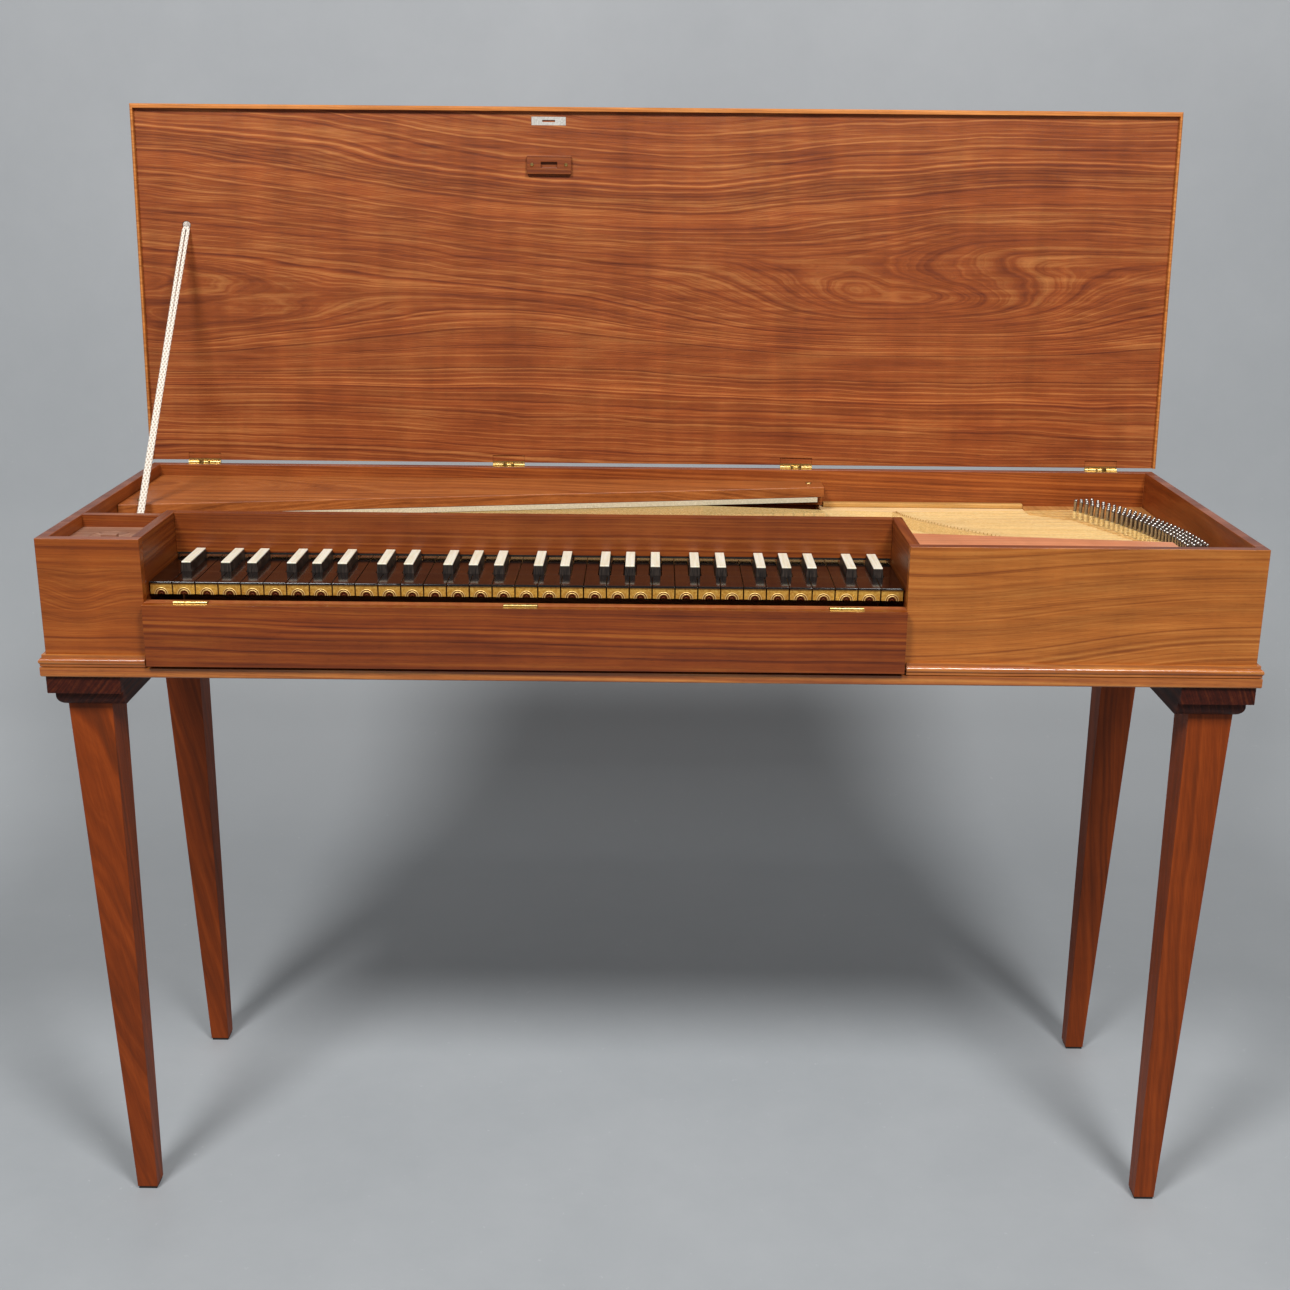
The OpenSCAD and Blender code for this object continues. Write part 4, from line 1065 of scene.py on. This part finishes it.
# Fall: a plain board of red-brown walnut that hangs before the key well and folds up to close it.
# Three brass butt hinges join it to the front rail.
fall_wood = wood(
    "fall_wood", "x", "501c06", "7a360c", "94501a", line_gap=0.0034, pith=(0.0, -0.4),
    tilt=(0.01, 0.015), wander=0.01, gloss=0.36, seed=22.3,
)
eased_copy("fall_board", "fall", "walnut", fall_wood, 0.0008, 3)
dress(brass, "fall_hinge_leaves", "case_hinge_leaves", "hinge_pins")

# Lid: a single board of figured walnut with a paler lipping planted round three edges.
# A brass strike plate and the slotted block that the lock bolt would meet are let in near the top.
lid_figure = wood(
    "lid_figure", "x", "602812", "8a441c", "b06e3a", line_gap=0.0034, pith=(0.0, -1.2),
    tilt=(0.0, 0.03), wander=0.024, ripple=0.08, gloss=0.36, seed=24.9,
    swells=(
        (-0.60, 0.925, 0.32, 0.05, 0.085), (0.30, 0.945, 0.29, 0.062, 0.1), (-0.09, 1.08, 0.36, 0.12, 0.06),
    ),
)
lipping_wood = wood(
    "lipping_wood", "x", "a05c24", "bb7234", "d08a48", line_gap=0.003, pith=(0.2, 0.62), gloss=0.38,
    seed=26.2,
)
eased_copy("lid_panel", "lid", "lid_walnut", lid_figure, 0.0006)
eased_copy("lid_lipping", "lid", "lid_walnut", lipping_wood, 0.0009, 3)
dress(speckled("nickelled_plate", "bdb9b2", "d8d4cc", 600, 0.42, 0.05, Metallic=0.6), "strike_plate")
hinges = skin_of("lid_hinge_leaves", "lid_hinge_plates")
cut(hinges, (0, 0, lid_hinge_z + 0.0046), (0, 0, 1))
paint(hinges, brass)
fit(hinges, "lid", "brass", "lid_hinge_leaves")
eased_copy("slotted_block", "lid", "dark_walnut", dark_walnut_long, 0.0007)
dress(brass, "block_screws")

# Floor and backdrop: one sweep of grey painted floor, with no line where it meets the wall.
# The lamps are two soft boxes high in front, left and right, and a dim even room.
bpy.ops.mesh.primitive_plane_add(size=1)
floor = bpy.context.object
floor.name = "floor"
bpy.ops.object.mode_set(mode="EDIT")
bpy.ops.transform.resize(value=(14, 9, 1))
bpy.ops.transform.translate(value=(0, -3.75, 0))
bpy.context.tool_settings.mesh_select_mode = (False, True, False)
bpy.ops.mesh.select_all(action="DESELECT")
bpy.ops.object.mode_set(mode="OBJECT")
for edge in floor.data.edges:
    edge.select = all(floor.data.vertices[v].co.y > 0 for v in edge.vertices)
bpy.ops.object.mode_set(mode="EDIT")
sweep_steps = 12
sweep_stride = 0.065
wall_height = 5
for step in range(sweep_steps):
    turn = math.radians(90 / sweep_steps * (step + 0.5))
    stride = (0, sweep_stride * math.cos(turn), sweep_stride * math.sin(turn))
    bpy.ops.mesh.extrude_region_move(TRANSFORM_OT_translate={"value": stride})
bpy.ops.mesh.extrude_region_move(TRANSFORM_OT_translate={"value": (0, 0, wall_height)})
bpy.ops.object.mode_set(mode="OBJECT")
bpy.ops.object.shade_smooth()
painted, tree, shader = new_finish("painted_floor", Roughness=0.55)
here = object_place(tree)
scuffs = noise(tree, here, 2.2, 8, 0.7)
specks = noise(tree, here, 75, 4, 0.7)
chips = between(tree, specks, 0.66, 0.74)
place = parts_of(tree, here)
up_wall = between(tree, place[2], 0.02, 1.0)
# Painted light: the grey is lightest where the floor bends up into the wall, and darker nearer the camera
# and higher up the wall. It stands in for the lamps' falloff.
lamp_falloff_paint = calc(tree, "MULTIPLY", calc(tree, "ADD", place[1], place[2]), 0.4)
painted_colour = ramp(
    tree, lamp_falloff_paint, (0.0, "9da1a4"), (0.3, "aeb2b5"), (0.45, "b6babd"), (0.62, "a9adb0"), (1.0, "a4a7aa")
)
patches = calc(tree, "MULTIPLY", between(tree, scuffs, 0.3, 0.7), 0.25)
painted_colour = mix_colours(tree, patches, painted_colour, tint("c3c5c7"))
chipped = calc(tree, "MULTIPLY", chips, calc(tree, "MULTIPLY_ADD", up_wall, -0.3, 0.3))
tree.links.new(mix_colours(tree, chipped, painted_colour, tint("d6d7d8")), shader.inputs["Base Color"])
raise_grain(tree, shader, specks, 0.1, 0.001)
# Its back is clear to the camera, so a view from behind shows the instrument and not the sweep.
on_back = node(tree, "NewGeometry").outputs["Backfacing"]
behind = calc(tree, "MULTIPLY", on_back, node(tree, "LightPath").outputs["Is Camera Ray"])
clear = node(tree, "BsdfTransparent").outputs[0]
one_sided = node(tree, "MixShader", {0: behind, 1: shader.outputs[0], 2: clear}).outputs[0]
tree.links.new(one_sided, tree.nodes["Material Output"].inputs["Surface"])
floor.data.materials.append(painted)

for side in (-1, 1):
    lamp_place = Vector((side * 1.12 - 0.08, -2.05, 3.3))
    bpy.ops.object.light_add(type="AREA", location=lamp_place)
    lamp = bpy.context.object
    lamp.data.shape = "DISK"
    lamp.data.size = 0.9
    lamp.data.energy = 88
    lamp.rotation_euler = (Vector((side * 0.1, 0, 0.75)) - lamp_place).to_track_quat("-Z", "Y").to_euler()
room = bpy.data.worlds.new("room")
room.use_nodes = True
room.node_tree.nodes["Background"].inputs["Color"].default_value = (1.0, 0.99, 0.97, 1)
room.node_tree.nodes["Background"].inputs["Strength"].default_value = 0.17
bpy.context.scene.world = room
bpy.context.scene.view_settings.view_transform = "Standard"
